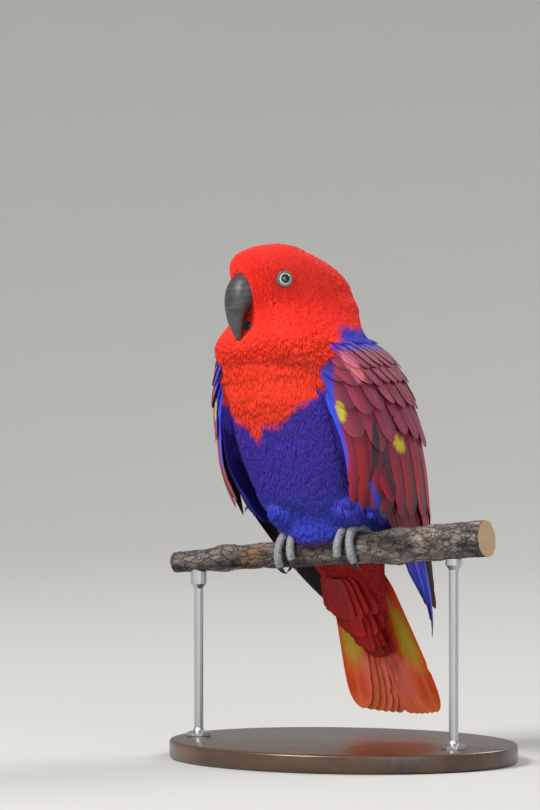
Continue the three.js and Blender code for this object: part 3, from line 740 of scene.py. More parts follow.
def wing_core_mesh(side):
    """A thick plate inside the folded wing, which joins it to the body in the skin."""
    rows, columns, margin = 40, 30, 4
    t, s = np.meshgrid(np.linspace(0, 1, rows), np.linspace(-1, 1, columns), indexing="ij")
    z = 138 - 124 * t
    read = lambda table, column: table(z.ravel())[:, column].reshape(z.shape)
    low, high = read(back_edge, 0) + margin, read(leading_edge, 0) - margin
    point, normal = wing_surface(z, low + (high - low) * (s + 1) / 2)
    outside, inside = read(wing_core_faces, 0), read(wing_core_faces, 1)
    inside = inside + (outside - 0.8 - inside) * 0.6 * np.abs(s) ** 4
    shells = [point + normal * lift[..., None] for lift in (outside, inside)]
    points = np.concatenate([shell.reshape(-1, 3) for shell in shells]) * [side, 1, 1]
    return mesh_piece("wing_form", place(points), shell_faces(rows, columns))


def thigh_mesh(side):
    at = place(perch_point(FOOT_PLACES[side], 0, 0) + [0, -4, 30.5])
    bpy.ops.mesh.primitive_uv_sphere_add(segments=32, ring_count=20, radius=1, location=at)
    ball = bpy.context.object
    ball.scale = (0.0155, 0.017, 0.017)
    return settled(ball)


def make_skin():
    """One closed skin through body, wing roots and thighs, a coat's depth inside the solids."""
    forms = [trunk_mesh(), wing_core_mesh(1), wing_core_mesh(-1), thigh_mesh(1), thigh_mesh(-1)]
    skin = merged([faced_out(form) for form in forms], "skin")
    modified(skin, "REMESH", mode="VOXEL", voxel_size=SKIN_VOXEL)
    modified(skin, "SMOOTH", factor=0.5, iterations=4)
    modified(skin, "DISPLACE", strength=-COAT_DEPTH * MM, mid_level=0.0)
    modified(skin, "SMOOTH", factor=0.4, iterations=2)
    return smoothed(skin)


def read_all(collection, key, width=1, kind=np.float32):
    """A property of every item of a mesh's collection, as an array."""
    values = np.zeros(len(collection) * width, kind)
    collection.foreach_get(key, values)
    return values.reshape(-1, width) if width > 1 else values


def mark_skin(skin, points):
    """Gives the skin its markings and its unwrap."""
    wander = np.sin(points[:, 0] * 0.9) * np.cos(points[:, 2] * 0.6 + points[:, 1] * 0.5)
    colours = np.concatenate([markings(points, wander) * 0.95, np.ones((len(points), 1))], 1)
    layer = skin.data.attributes.new("pigment", "FLOAT_COLOR", "POINT")
    layer.data.foreach_set("color", colours.astype(np.float32).ravel())
    skin.data.attributes.new("tone", "FLOAT", "POINT").data.foreach_set("value", np.full(len(points), 0.5))
    uv = skin.data.uv_layers.new(name="OFBake")
    corners = read_all(skin.data.loops, "vertex_index", kind=np.int32)
    starts = read_all(skin.data.polygons, "loop_start", kind=np.int32)
    corner_uv = unwrap(points)[corners]
    sizes = np.diff(np.append(starts, len(corners)))
    furthest = np.repeat(np.maximum.reduceat(corner_uv[:, 0], starts), sizes)
    corner_uv[furthest - corner_uv[:, 0] > 0.5, 0] = 1  # faces across the seam end at it
    uv.data.foreach_set("uv", corner_uv.astype(np.float32).ravel())


skin = make_skin()
skin_mm = read_all(skin.data.vertices, "co", 3) / MM - ORIGIN
mark_skin(skin, skin_mm)
finished(skin, "skin", PLUMAGE, "red_feathers", "head", "neck", "torso", "leg_left", "leg_right")


# Body plumage


def tree_of(*objects):
    """One ray target from several objects' meshes."""
    points, faces = [], []
    for each in objects:
        start = len(points)
        points += [v.co.copy() for v in each.data.vertices]
        faces += [[start + i for i in p.vertices] for p in each.data.polygons]
    return BVHTree.FromPolygons(points, faces)


WINGS = tree_of(frame["nodes"]["wing_left"], frame["nodes"]["wing_right"])
BILL = tree_of(frame["nodes"]["bill_upper"], frame["nodes"]["bill_lower"])
FEET = tree_of(frame["nodes"]["foot_left"], frame["nodes"]["foot_right"], frame["nodes"]["perch"])
EYES = [eye_seat(1), eye_seat(-1)]
BILL_ROOT = head_point(30, 0, -3)


def far_apart(points, spacing):
    """Indices of the points that keep their own spacing from all those kept before them."""
    cell, kept, bins = 3.5, [], {}
    keys = np.floor(points / cell).astype(int)
    around = [(i, j, k) for i in (-1, 0, 1) for j in (-1, 0, 1) for k in (-1, 0, 1)]
    for i, (p, key) in enumerate(zip(points.tolist(), keys.tolist())):
        limit = spacing[i] ** 2
        near = (q for d in around for q in bins.get((key[0] + d[0], key[1] + d[1], key[2] + d[2]), ()))
        if all((p[0] - q[0]) ** 2 + (p[1] - q[1]) ** 2 + (p[2] - q[2]) ** 2 > limit for q in near):
            bins.setdefault(tuple(key), []).append(p)
            kept.append(i)
    return kept


def scattered(gap):
    """Roots spread over the skin, about gap(points) millimetres apart, with their normals."""
    mesh = skin.data
    mesh.calc_loop_triangles()
    corners = read_all(mesh.loop_triangles, "vertices", 3, np.int32)
    normals = read_all(mesh.vertices, "normal", 3)
    a, b, c = (skin_mm[corners[:, i]] for i in range(3))
    area = np.linalg.norm(np.cross(b - a, c - a), axis=1) / 2
    wanted = area / gap((a + b + c) / 3) ** 2
    chosen = np.repeat(np.arange(len(corners)), RNG.poisson(wanted * 2.2))
    RNG.shuffle(chosen)
    u, v = RNG.random((2, len(chosen)))
    flip = u + v > 1
    u, v = np.where(flip, 1 - u, u), np.where(flip, 1 - v, v)
    weights = np.stack([1 - u - v, u, v], 1)[..., None]
    points = (np.stack([a, b, c], 1)[chosen] * weights).sum(1)
    directions = unit((normals[corners][chosen] * weights).sum(1))
    kept = far_apart(points, gap(points) * 0.8)
    return points[kept], directions[kept]


def bare(point, normal):
    """Whether no body feather grows here: under a wing, round an eye, in the bill or at a foot."""
    at, out = Vector(place(point)), Vector(normal)
    if WINGS.ray_cast(at, out, 0.014)[0] is not None:
        return True
    if any(np.linalg.norm(point - middle - seat * depth) < EYE_OPENING + 1.3 for middle, seat, depth in EYES):
        return True
    near, facing, _, distance = BILL.find_nearest(at)
    if distance < 0.0004 or (at - near).dot(facing) < 0:
        return distance < 0.02
    near, facing, _, distance = FEET.find_nearest(at)
    return distance < 0.0012 or ((at - near).dot(facing) < 0 and distance < 0.012)


def face_distance(points):
    return np.linalg.norm(points - BILL_ROOT, axis=1)


def lie(points, normals):
    """The way the coat lies: away from the bill on the head, and down the body below."""
    z = points[:, 2]
    away = unit(points - BILL_ROOT)
    backward = trunk_sections(z - 3)[:, 1] - trunk_sections(z)[:, 1]
    down = unit(np.stack([0 * z, backward, 0 * z - 3], 1))
    on_head = (step(75, 28, face_distance(points)) * step(112, 158, z))[:, None]
    flow = unit(away * on_head + down * (1 - on_head))
    return unit(flow - normals * (flow * normals).sum(1)[:, None])


def coat_gap(points):
    z = points[:, 2]
    return 2.05 - 0.65 * step(120, 150, z) - 0.4 * step(60, 22, face_distance(points)) + 0.35 * step(40, 0, z)


def coat_length(points):
    z = points[:, 2]
    return 10 - 3.2 * step(110, 155, z) - 3.4 * step(58, 16, face_distance(points)) - 3 * step(48, 18, z)


BLADES = 7  # in one tuft
BLADE_POINTS = 10
BLADE_TRIANGLES = 16
# Share of a blade's length, half width against its widest, and height over the skin against its own.
BLADE_SECTIONS = ((0.0, 0.7, -0.5), (0.38, 1.0, 0.65), (0.74, 0.75, 1.0))
# Painted shade along a blade, point by point: darkest at the root, where the other tufts cover it, and
# lighter towards the tip.
PAINTED_BLADE_SHADE = (0.0, 0, 0, 0.2, 0.2, 0.2, 0.32, 0.32, 0.32, 0.4)
PATCH_STEP = 0.00075  # of a tuft's patch in the bake layout


def blade_faces(count):
    """Triangles of that many three-sided blades, each closed at its root and drawn to a point."""
    faces = [(0, 1, 2)]
    for low in (0, 3):
        for i in range(3):
            j = (i + 1) % 3
            faces += [(low + i, low + i + 3, low + j), (low + j, low + i + 3, low + j + 3)]
    faces += [(6 + i, 9, 6 + (i + 1) % 3) for i in range(3)]
    return (np.arange(count) * BLADE_POINTS)[:, None, None] + np.array(faces)[None]


def plumes(name, points, normals):
    """Tufts of tapered blades that fan out from each root and lie along the body."""
    count = len(points)
    flow = lie(points, normals)
    turn = RNG.normal(0, 0.1, count)[:, None]
    flow = unit(flow + np.cross(normals, flow) * turn)
    side = np.cross(normals, flow)
    length = coat_length(points) * RNG.uniform(0.82, 1.15, count)
    width = length * 0.052 + 0.04
    fan = np.linspace(-1, 1, BLADES)
    spread = fan[None, :] * 0.26 + RNG.normal(0, 0.05, (count, BLADES))
    long = length[:, None] * (1 - 0.16 * fan[None, :] ** 2) * RNG.uniform(0.85, 1.08, (count, BLADES))
    along = unit(flow[:, None] + side[:, None] * spread[..., None])
    across = unit(np.cross(normals[:, None], along))
    root = points[:, None] + side[:, None] * (fan[None, :, None] * length[:, None, None] * 0.07)
    rise = RNG.uniform(0.86, 1.14, (count, BLADES))
    height = rise[..., None] * (COAT_DEPTH * 0.55 * np.clip(length / 9, 0.4, 1.1))[:, None, None]
    sections = []
    for share, half, lift in BLADE_SECTIONS:
        middle = root + along * (long * share)[..., None] + normals[:, None] * (lift * height)
        edge = across * (width[:, None] * half)[..., None]
        thick = normals[:, None] * (0.1 + 0.08 * half)
        sections += [middle - edge - thick, middle + edge - thick, middle + thick * 1.2]
    tip = root + along * long[..., None] + normals[:, None] * (1.018 * height)
    verts = np.stack(sections + [tip], 2)
    frayed = RNG.uniform(-1, 1, count)
    each = BLADES * BLADE_POINTS
    tone = np.repeat(RNG.uniform(0, 1, (count, BLADES)).reshape(-1), BLADE_POINTS) * 0.6
    colours = {
        "pigment": np.repeat(markings(points, frayed), each, 0),
        # Each blade's random lightness, plus the painted shade at its root.
        "tone": tone + np.tile(PAINTED_BLADE_SHADE, count * BLADES),
    }
    patch = np.array([[i % 3, i // 3] for i in range(BLADE_POINTS)]) * PATCH_STEP
    uv = np.clip(np.repeat(unwrap(points), each, 0) + np.tile(patch, (count * BLADES, 1)), 0, 1)
    faces = blade_faces(count * BLADES).reshape(-1, 3)
    return smoothed(mesh_piece(name, place(verts.reshape(-1, 3)), faces, colours, uv))


def body_coat():
    """The plumage over the skin, from the crown down, in pieces of limited size."""
    roots, normals = scattered(coat_gap)
    keep = np.array([not bare(p, n) for p, n in zip(roots, normals)])
    roots, normals = roots[keep], normals[keep]
    order = np.argsort(-roots[:, 2])
    roots, normals = roots[order], normals[order]
    per_piece = PIECE_LIMIT // (BLADES * BLADE_TRIANGLES)
    for number, start in enumerate(range(0, len(roots), per_piece), 1):
        name, group = f"plumage_{number}", slice(start, start + per_piece)
        slot = "red_feathers" if roots[group, 2].mean() > 95 else "violet_feathers"
        finished(plumes(name, roots[group], normals[group]), name, PLUMAGE, slot)


body_coat()

# Vanes of wings and tail

VANE_GRID = (26, 11)  # points along and across a feather


def vane_outline(t, bluntness):
    """Half width along a feather, as a share of its widest."""
    root = np.clip(t / 0.16, 0, 1) ** 0.6
    return (0.45 + 0.55 * root) * (1 - t**bluntness) ** 0.55


def vane(f, surface):
    """Points, attributes and bake layout of one feather, upper side first."""
    steps, columns = VANE_GRID
    t = 1 - (1 - np.linspace(0, 1, steps)[:, None]) ** 1.5
    s = np.linspace(-1, 1, columns)[None, :]
    splits = sum(np.exp(-(((t - at) / 0.012) ** 2)) * (np.sign(s) == way) for at, way in f["splits"])
    half = f["half"] * np.maximum(vane_outline(t, f["bluntness"]), 0.03) * (1 - 0.2 * splits * np.abs(s) ** 3)
    along = f["tip"] - f["root"]
    sideways = unit(np.array([along[1], -along[0]]))
    at = f["root"] + along * t[..., None] + sideways * (s * half)[..., None]
    point, normal = surface(at[..., 0], at[..., 1])
    climb = -f["sink"] + (f["rise"] + f["sink"]) * t**0.8
    keel = 0.35 * np.exp(-((s - f["keel"]) ** 2) / 0.02) * (1 - 0.7 * t)
    cup = 0.015 * (1 - s * s) * f["half"]
    flutter = f["wave"] * np.sin(t * 9 + f["phase"] + s * 1.2) * t
    lift = climb + f["stack"] * t + f["tilt"] * half * s + keel + cup + flutter
    thick = 0.5 * (1 - 0.35 * np.abs(s)) * (1 - 0.5 * t) + 0.1
    sheets = [point + normal * (lift + face * thick / 2)[..., None] for face in (1, -1)]
    t, s = (np.broadcast_to(each, (steps, columns)).ravel() for each in (t, s))
    colour = f["paint"](t, s, at[..., 0].ravel(), at[..., 1].ravel()) * f["shade"]
    from_shaft = s - f["keel"]
    slant = t * np.linalg.norm(along) * 0.36 - np.abs(from_shaft) * f["half"] * 0.93
    attributes = {
        "pigment": np.concatenate([colour, mix(colour, DARK, f["dark_under"])]),
        "barb": np.tile(slant, 2),
        "shaft": np.tile(np.exp(-(from_shaft**2) / 0.012), 2),
        "tone": np.full(2 * len(t), f["phase"] / 6.3),
    }
    strip = np.stack([0.08 + 0.84 * (s + 1) / 2, 0.02 + 0.47 * t], -1)
    uv = np.concatenate([strip, strip + [0, 0.5]])
    return np.concatenate([sheet.reshape(-1, 3) for sheet in sheets]), attributes, uv


def feathers(name, surface, rows, mirror=1):
    """Vanes on a surface, joined in one piece. Each row of the list describes one feather."""
    vanes = [vane(f, surface) for f in rows]
    points = np.concatenate([each[0] for each in vanes]) * [mirror, 1, 1]
    attributes = {key: np.concatenate([each[1][key] for each in vanes]) for key in vanes[0][1]}
    uv = np.concatenate([(each[2] + [number, 0]) / [len(rows), 1] for number, each in enumerate(vanes)])
    shell = shell_faces(*VANE_GRID)
    faces = np.concatenate([shell + number * len(vanes[0][0]) for number in range(len(rows))])
    if mirror < 0:
        faces = faces[:, ::-1]
    piece = mesh_piece(name, place(points), faces, attributes, uv)
    volume = bmesh.new()
    volume.from_mesh(piece.data)
    inside_out = volume.calc_volume(signed=True) < 0
    volume.free()
    if inside_out:
        piece.data.flip_normals()
    return smoothed(piece, 50)


def wing_place(z, across):
    """Height and reach of a place on the wing, by its share of the way from the leading edge back."""
    lead, back = leading_edge(z)[0, 0], back_edge(z)[0, 0]
    return np.array([z, lead + (back - lead) * across])


def feather(root, tip, half, rise, paint, **more):
    """One feather's sizes, with the settings that most feathers share."""
    return {
        "root": np.array(root, float),
        "tip": np.array(tip, float),
        "half": half * RNG.uniform(0.93, 1.08),
        "rise": rise,
        "sink": ROOT_SINK,
        "tilt": 0.0,
        "stack": 0.0,
        "keel": 0.3,
        "wave": RNG.uniform(0.05, 0.28),
        "phase": RNG.uniform(0, 6.3),
        "shade": RNG.uniform(0.8, 1.14) * np.array([1, 1, RNG.uniform(0.8, 1.5)]),
        "dark_under": 0.85,
        "bluntness": 4.5,
        "paint": paint,
        "splits": [(RNG.uniform(0.5, 0.94), RNG.choice([-1, 1])) for _ in range(more.pop("splits", 1))],
    } | more


def tier(count, roots, across, tips, tip_across, half, rise, paint, uneven=1.0, overlap=0.42, **more):
    """A tier of wing feathers, each with its leading edge over the one in front."""
    shares = np.linspace(0, 1, count)
    spread = lambda ends: ends[0] + (ends[1] - ends[0]) * shares
    root = [wing_place(z, a) for z, a in zip(spread(roots), spread(across))]
    tip = [wing_place(z, a) for z, a in zip(spread(tips) + RNG.normal(0, uneven, count), spread(tip_across))]
    pitch_root = (root[0][1] - root[-1][1]) / (count - 1)
    pitch_tip = (tip[0][1] - tip[-1][1]) / (count - 1)
    step_up = VANE_STEP * overlap
    tilt = step_up / pitch_root
    stack = max(0.0, step_up - tilt * pitch_tip)
    drift = RNG.normal(0, 0.45 * uneven, count)
    return [
        feather(root[i], tip[i] + [0, drift[i]], half, rise, paint, tilt=tilt, stack=stack * i, **more)
        for i in range(count)
    ]


# Marks on the wing by place: from and to, each height and distance round from the back's middle,
# then half width, colour, strength, and how much it narrows towards its ends.
# Besides the wing's own bands and spots, the dark stroke is a painted shadow and the pink strokes are painted
# highlights.
STROKES = [
    # Painted shadow: a dark stroke in the gap where the front feathers lie over the greater coverts.
    ((90, 120.5), (48, 130), 3.0, DARK, 0.9, 0.9),
    ((48, 130), (26, 118), 1.9, BLUE * 0.8, 0.9, 0.7),
    ((32, 121), (12, 107), 3.2, TEAL, 0.85, 0.7),
    ((96, 140), (87, 142.8), 2.9, YELLOW_GREEN, 0.95, 0.3),
    ((72, 104), (69, 100), 4.6, YELLOW_GREEN, 0.95, 0.0),
    # Painted highlights: the next two strokes lay pink light on the upper coverts and near the back of the
    # wing.
    ((128, 107), (110, 118), 4.6, PAINTED_PINK_HIGHLIGHT, 0.8, 0.6),
    ((130, 54), (100, 50), 4.0, PAINTED_PINK_HIGHLIGHT * 1.2, 0.6, 0.6),
]


def wing_marks(colour, z, reach):
    """Adds the blue front band, the violet shoulder and the single marks, among them a painted shadow and
    painted highlights, to a wing's colour.
    """
    spot = np.stack([z, reach], 1)
    for start, end, half, tint, strength, narrowing in STROKES:
        start, along = np.array(start), np.array(end) - start
        share = np.clip((spot - start) @ along / (along @ along), 0, 1)
        away = np.linalg.norm(spot - start - share[:, None] * along, axis=1)
        reach_out = half * (1 - narrowing * (1 - np.sin(share * math.pi)))
        colour = mix(colour, tint, step(1.1, 0.85, away / reach_out) * strength)
    band = np.interp(z, [50, 80, 102, 133], [0, 5.5, 8.5, 17])
    inside = step(-1.2, 1.2, reach - leading_edge(z)[:, 0] + band) * step(48, 58, z)
    colour = mix(colour, mix(VIOLET, BLUE, step(116, 96, z)), inside)
    return mix(colour, mix(VIOLET, BLUE, 0.2), step(128, 132.5, z))


def paint_primary(t, s, z, reach):
    blue = mix(BLUE, VIOLET, 0.35)
    colour = mix(np.broadcast_to(DARK, (len(t), 3)), blue, step(-0.3, 0.4, s) * step(1.02, 0.8, t))
    return mix(colour, MAROON * 0.8, step(-14, 2, z))


def paint_secondary(t, s, z, reach):
    colour = mix(MAROON, DARK, step(0.4, -0.2, s) * 0.75)
    return wing_marks(mix(colour, DEEP_RED, step(0.1, 0.9, s) * 0.6), z, reach)


def paint_greater(t, s, z, reach):
    colour = mix(MAROON, DARK, step(0.35, -0.25, s) * step(0.1, 0.6, t) * 0.75)
    colour = mix(colour, DEEP_RED * 1.15, step(0.2, 0.9, s) * step(0.2, 0.8, t) * 0.65)
    return wing_marks(colour, z, reach)


def paint_covert(t, s, z, reach):
    # Painted highlight: each covert's tip turns towards pink light.
    colour = mix(MAROON, PAINTED_PINK_HIGHLIGHT, step(0.3, 0.95, t) * 0.2)
    # Painted shade: the inner side, tucked under the next feather, is darkened.
    return wing_marks(mix(colour, DARK, step(0.2, -0.5, s) * 0.4), z, reach)


def wing_rows():
    """Flight feathers and coverts of the left wing, from the lowest tier up."""
    flight = tier(
        9, (62, 58), (0.12, 0.5), (-34, -60), (0.1, 0.55), 7.4, -6.0, paint_primary, bluntness=2.4, splits=2
    )
    flight += tier(
        9, (74, 76), (0.44, 0.94), (-10, -39), (0.44, 0.92), 8.0, -0.4, paint_secondary, 1.5, splits=2
    )
    greater = tier(9, (97, 92), (0.2, 0.95), (23, 14), (0.1, 0.94), 10.4, 1.6, paint_greater, 2.6, splits=2)
    greater += tier(3, (103, 101), (0.05, 0.2), (35, 30), (0.02, 0.1), 8.2, 2.9, paint_greater, 1.5, splits=2)
    greater.append(feather((76, 132), (35, 112), 6.2, 4.2, paint_greater, tilt=0.03, splits=5))
    covert = {"dark_under": 0.3}
    small = tier(10, (111, 108), (0.09, 0.94), (74, 66), (0.08, 0.94), 9.4, 2.2, paint_covert, 3.0, **covert)
    small += tier(11, (120, 118), (0.1, 0.94), (94, 90), (0.09, 0.94), 8.6, 2.1, paint_covert, 2.4, **covert)
    flat, flattest = {"overlap": 0.32, "dark_under": 0.1}, {"overlap": 0.2, "dark_under": 0.0}
    front = tier(13, (129, 128), (0.1, 0.95), (108, 108), (0.08, 0.95), 7.4, 1.8, paint_covert, 1.8, **flat)
    front += tier(
        14, (136, 136), (0.08, 0.97), (119, 120), (0.08, 0.96), 6.4, 1.5, paint_covert, 1.3, **flattest
    )
    return {"flight": flight, "greater": greater, "coverts": small, "marginal": front}


for side, mirror in SIDES.items():
    for part, rows in wing_rows().items():
        name = f"wing_{side}_{part}"
        nodes = [f"wing_{side}"] if part == "flight" else []
        finished(feathers(name, wing_surface, rows, mirror), name, VANE, "maroon_feathers", *nodes)


def tail_feather(sideways, down, half, rise, tilt, paint, **more):
    """A feather of the tail, its shaft and tilt turned over on the bird's right side."""
    outward = math.copysign(1, sideways[1])
    root, tip = np.array([sideways, down]).T
    usual = {"tilt": tilt * outward, "keel": 0.12 * outward, "dark_under": 0.0}
    usual |= {"splits": 2, "bluntness": 12, "wave": 0.03}
    return feather(root, tip, half, rise, paint, **(usual | more))


def paint_tail(t, s, sideways, down):
    """Deep red at the root, then salmon in the middle and yellow-green to either side, with orange edges."""
    out = np.abs(sideways)
    colour = mix(DEEP_RED, ORANGE_RED, step(30, 62, down + out * 0.9))
    gold = step(13, 18, out) * step(35, 29, out) * step(38, 50, down) * step(98, 74, down)
    gold = gold * step(1.0, 0.5, np.abs(s))
    colour = mix(colour, YELLOW_GREEN, gold * 0.9)
    colour = mix(colour, SALMON, step(26, 14, out) * step(74, 88, down) * 0.8)
    return mix(colour, TIP_ORANGE, step(104, 122, down) * 0.8)


def paint_under(t, s, sideways, down):
    return mix(DEEP_RED, SCARLET * 0.75, step(0.4, 1.0, t) * 0.4)


def tail_rows():
    rows = []
    for p in [p for p in range(-6, 7) if p]:
        stack = (6 - abs(p)) * 0.45
        down = (10, TAIL_LENGTH - 0.16 * p * p)
        rows.append(tail_feather((p * 1.9, p * 4.8), down, 9.6, stack, 0.12, paint_tail, sink=1 - stack))
    return rows


# Feathers in a tier, its widths at roots and tips, where it starts and ends down the tail, and its
# heights there. Two tiers lie over the tail and four under it.
TAIL_COVERTS = [
    (7, (14, 28), (12, 44), (2, 7.0)),
    (6, (9, 20), (28, 62), (-1.5, 5.0)),
    (7, (20, 33), (8, 40), (-24, -22)),
    (7, (17, 29), (22, 56), (-20, -17.5)),
    (7, (14, 24), (36, 69), (-16.5, -12)),
    (6, (10, 17), (48, 80), (-13.5, -7)),
]


def covert_rows():
    rows = []
    for count, width, down, heights in TAIL_COVERTS:
        for i in range(count):
            at = i / (count - 1) - 0.5
            curve = 20 * at * at if heights[1] < 0 else 0
            lifted = heights[1] + curve + (i % 2) * VANE_STEP * 0.6 * math.copysign(1, heights[1])
            side = (at * width[0], at * width[1] + 1e-6)
            reach = (down[0], down[1] - 12 * at * at + RNG.normal(0, 0.8))
            rows.append(tail_feather(side, reach, 5.4, lifted, 0.0, paint_under, sink=-heights[0] - curve))
    return rows


tail = feathers("tail_feathers", tail_surface, tail_rows())
finished(tail, "tail_feathers", TAIL_VANE, "tail_feathers", "tail")
finished(feathers("tail_coverts", tail_surface, covert_rows()), "tail_coverts", VANE, "tail_feathers")

# Bill, eyes and lids


def copy_of(node, name):
    """A node's shape as a new piece with its doubles merged."""
    piece = frame["nodes"][node].copy()
    piece.data = frame["nodes"][node].data.copy()
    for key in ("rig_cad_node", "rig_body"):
        if key in piece:
            del piece[key]
    piece.parent = None
    piece.name = name
    bpy.context.collection.objects.link(piece)
    return faced_out(piece, 2e-5)


def rounded_copy(node, name, voxel, passes):
    """A node's shape as a new piece, with its edges and facets softened."""
    piece = copy_of(node, name)
    modified(piece, "REMESH", mode="VOXEL", voxel_size=voxel)
    modified(piece, "SMOOTH", factor=0.5, iterations=passes)
    return smoothed(piece)


def spline(points):
    """A curve through points, read from 0 to 1."""
    knots = np.array(points, float)

    def read(t):
        place_on = t * (len(knots) - 1)
        i = np.minimum(place_on.astype(int), len(knots) - 2)
        w = (place_on - i)[:, None]
        before, start, end, after = (knots[np.clip(i + d, 0, len(knots) - 1)] for d in (-1, 0, 1, 2))
        v0, v1 = (end - before) / 2, (after - start) / 2
        twist = 2 * start - 2 * end + v0 + v1
        bend = 3 * end - 3 * start - 2 * v0 - v1
        return twist * w**3 + bend * w**2 + v0 * w + start

    return read


def bill_half(node, outer, inner, widths):
    """A half of the bill, from its outer and inner lines in the head's middle plane and its half widths."""
    rows, around = 80, 64
    t = np.linspace(0, 1, rows)
    outside, inside = spline(outer)(t), spline(inner)(t)
    last = len(widths) - 1
    width = smooth_table([(1 - i / last, w) for i, w in enumerate(widths)])(1 - t)
    turn = np.linspace(0, 2 * math.pi, around, endpoint=False)
    middle, reach = (outside + inside)[:, None] / 2, (outside - inside)[:, None] / 2
    line = middle + reach * np.sin(turn)[None, :, None]
    points = HEAD_CENTRE + FORWARD * line[..., :1] + LEFTWARD * (width * np.cos(turn))[..., None]
    points = points + np.array([0, 0, 1]) * line[..., 1:]
    faces = [list(f) for f in grid_faces(rows, around, True)]
    faces += [list(range(around)), list(range((rows - 1) * around, rows * around))]
    piece = faced_out(mesh_piece(node + "_horn", place(points.reshape(-1, 3)), faces))
    finished(smoothed(piece, 50), node + "_horn", BILL_HORN, "bill_horn", node)


BILL_HORN = horn_finish("bill_horn", (0.014, 0.014, 0.017), (0.06, 0.06, 0.068), 0.42)
bill_half(
    "bill_upper",
    [(30, 13), (37.5, 11), (43, 4), (45, -6), (43.4, -18), (39.8, -27.5), (35.2, -34.3)],
    [(25, -8), (29.5, -12), (33, -14), (34.6, -17), (35.6, -21.5), (35.6, -27), (34.4, -33.4)],
    [11.8, 11.7, 11.2, 10, 7.8, 4.6, 0.8],
)
bill_half(
    "bill_lower",
    [(19, -26), (25.5, -28.5), (30.5, -27.5), (34, -22.5)],
    [(20, -15), (25.5, -16), (30.5, -17.5), (33.4, -20.5)],
    [9.5, 9.2, 8, 4.5],
)

EYE_FINISH, LID_FINISH = eye_finish(), lid_finish()


def eyeball(name, side):
    """A ball with its distance from the eye's axis marked, which its rings of colour follow."""
    middle, out = eye_seat(side)[:2]
    radius = (EYE_RADIUS - 0.05) * MM
    bpy.ops.mesh.primitive_uv_sphere_add(segments=48, ring_count=32, radius=radius, location=place(middle))
    ball = settled(bpy.context.object)
    axis = Vector(out)
    spots = [v.co - Vector(place(middle)) for v in ball.data.vertices]
    ring = [(v - axis * v.dot(axis)).length / MM if v.dot(axis) > 0 else 9.0 for v in spots]
    ball.data.attributes.new("ring", "FLOAT", "POINT").data.foreach_set("value", ring)
    finished(smoothed(ball), f"eyeball_{name}", EYE_FINISH, "eye", f"eye_{name}")


def lid_ring(name, side):
    """A bare ring of small folds round the eye, raised on the skin."""
    middle, out, depth = eye_seat(side)
    bpy.ops.mesh.primitive_torus_add(
        major_radius=(EYE_OPENING + 0.45) * MM,
        minor_radius=0.72 * MM,
        major_segments=72,
        minor_segments=14,
        location=place(middle + out * (depth - 0.1)),
        rotation=Vector(out).to_track_quat("Z", "Y").to_euler(),
    )
    ring = settled(bpy.context.object)
    texture = bpy.data.textures.new("lid_folds", "CLOUDS")
    texture.noise_scale = 0.0009
    modified(ring, "DISPLACE", texture=texture, strength=0.0003, mid_level=0.5)
    finished(smoothed(ring), f"lids_{name}", LID_FINISH, "foot_skin")


for name, side in SIDES.items():
    eyeball(name, side)
    lid_ring(name, side)

# Feet and claws

FOOT_SKIN = foot_finish()
CLAW_HORN = horn_finish("claw_horn", (0.01, 0.009, 0.009), (0.06, 0.055, 0.055), 0.3)
# Each toe's places along the branch at its root and tip, and how far it reaches round, in degrees.
TOES = [((3, 5.5), 128), ((-3, -5), 108), ((4, 9), -112), ((-3, -6), -96)]
CLAW_BEND = 1.1
FOOT_VOXEL = 0.00036


def swept_tube(name, points, radii, sides):
    """A round tube through points, in millimetres, made from a curve with a bevel."""
    curve = bpy.data.curves.new(name, "CURVE")
    curve.dimensions = "3D"
    curve.bevel_depth = MM
    curve.bevel_resolution = sides
    curve.use_fill_caps = True
    run = curve.splines.new("POLY")
    run.points.add(len(points) - 1)
    for spot, at, radius in zip(run.points, place(points), radii):
        spot.co = (*at, 1)
        spot.radius = radius
    piece = bpy.data.objects.new(name, curve)
    bpy.context.collection.objects.link(piece)
    pick(piece)
    bpy.ops.object.convert(target="MESH")
    return bpy.context.object


def toe_parts(at, side, sideways, reach):
    """One toe with its ringed scutes and pads, and its claw."""
    end = math.radians(reach)
    ring = perch_radius(at) * (1 + PERCH_RIPPLE) + TOE_RADIUS + 0.3
    across = lambda t: at + side * (sideways[0] + (sideways[1] - sideways[0]) * t)
    shares = np.linspace(0, 1, 130)
    points = [perch_point(across(t), end * t, ring) for t in shares]
    swell = lambda t: 0.97 + 0.1 * abs(math.sin(t * 13 * math.pi)) ** 0.5 + 0.05 * math.sin(t * 9.4)
    radii = [TOE_RADIUS * (1 - 0.18 * t) * swell(t) for t in shares]
    radii[-1] *= 0.8
    tip = perch_point(across(1), end, ring)
    onward = perch_point(0, end + math.copysign(math.pi / 2, end), 1)
    inward = perch_point(0, end, -1)
    claw_points, claw_radii = [], []
    for t in np.linspace(-0.12, 1, 18):
        bend = t * CLAW_BEND
        out = CLAW_LENGTH * math.sin(bend) / CLAW_BEND
        down = CLAW_LENGTH * (1 - math.cos(bend)) * 0.75 - 0.4
        claw_points.append(tip + onward * out + inward * down)
        claw_radii.append(2.0 * (1 - 0.93 * max(t, 0) ** 0.9) + 0.05)
    return swept_tube("toe", points, radii, 7), swept_tube("claw", claw_points, claw_radii, 5)


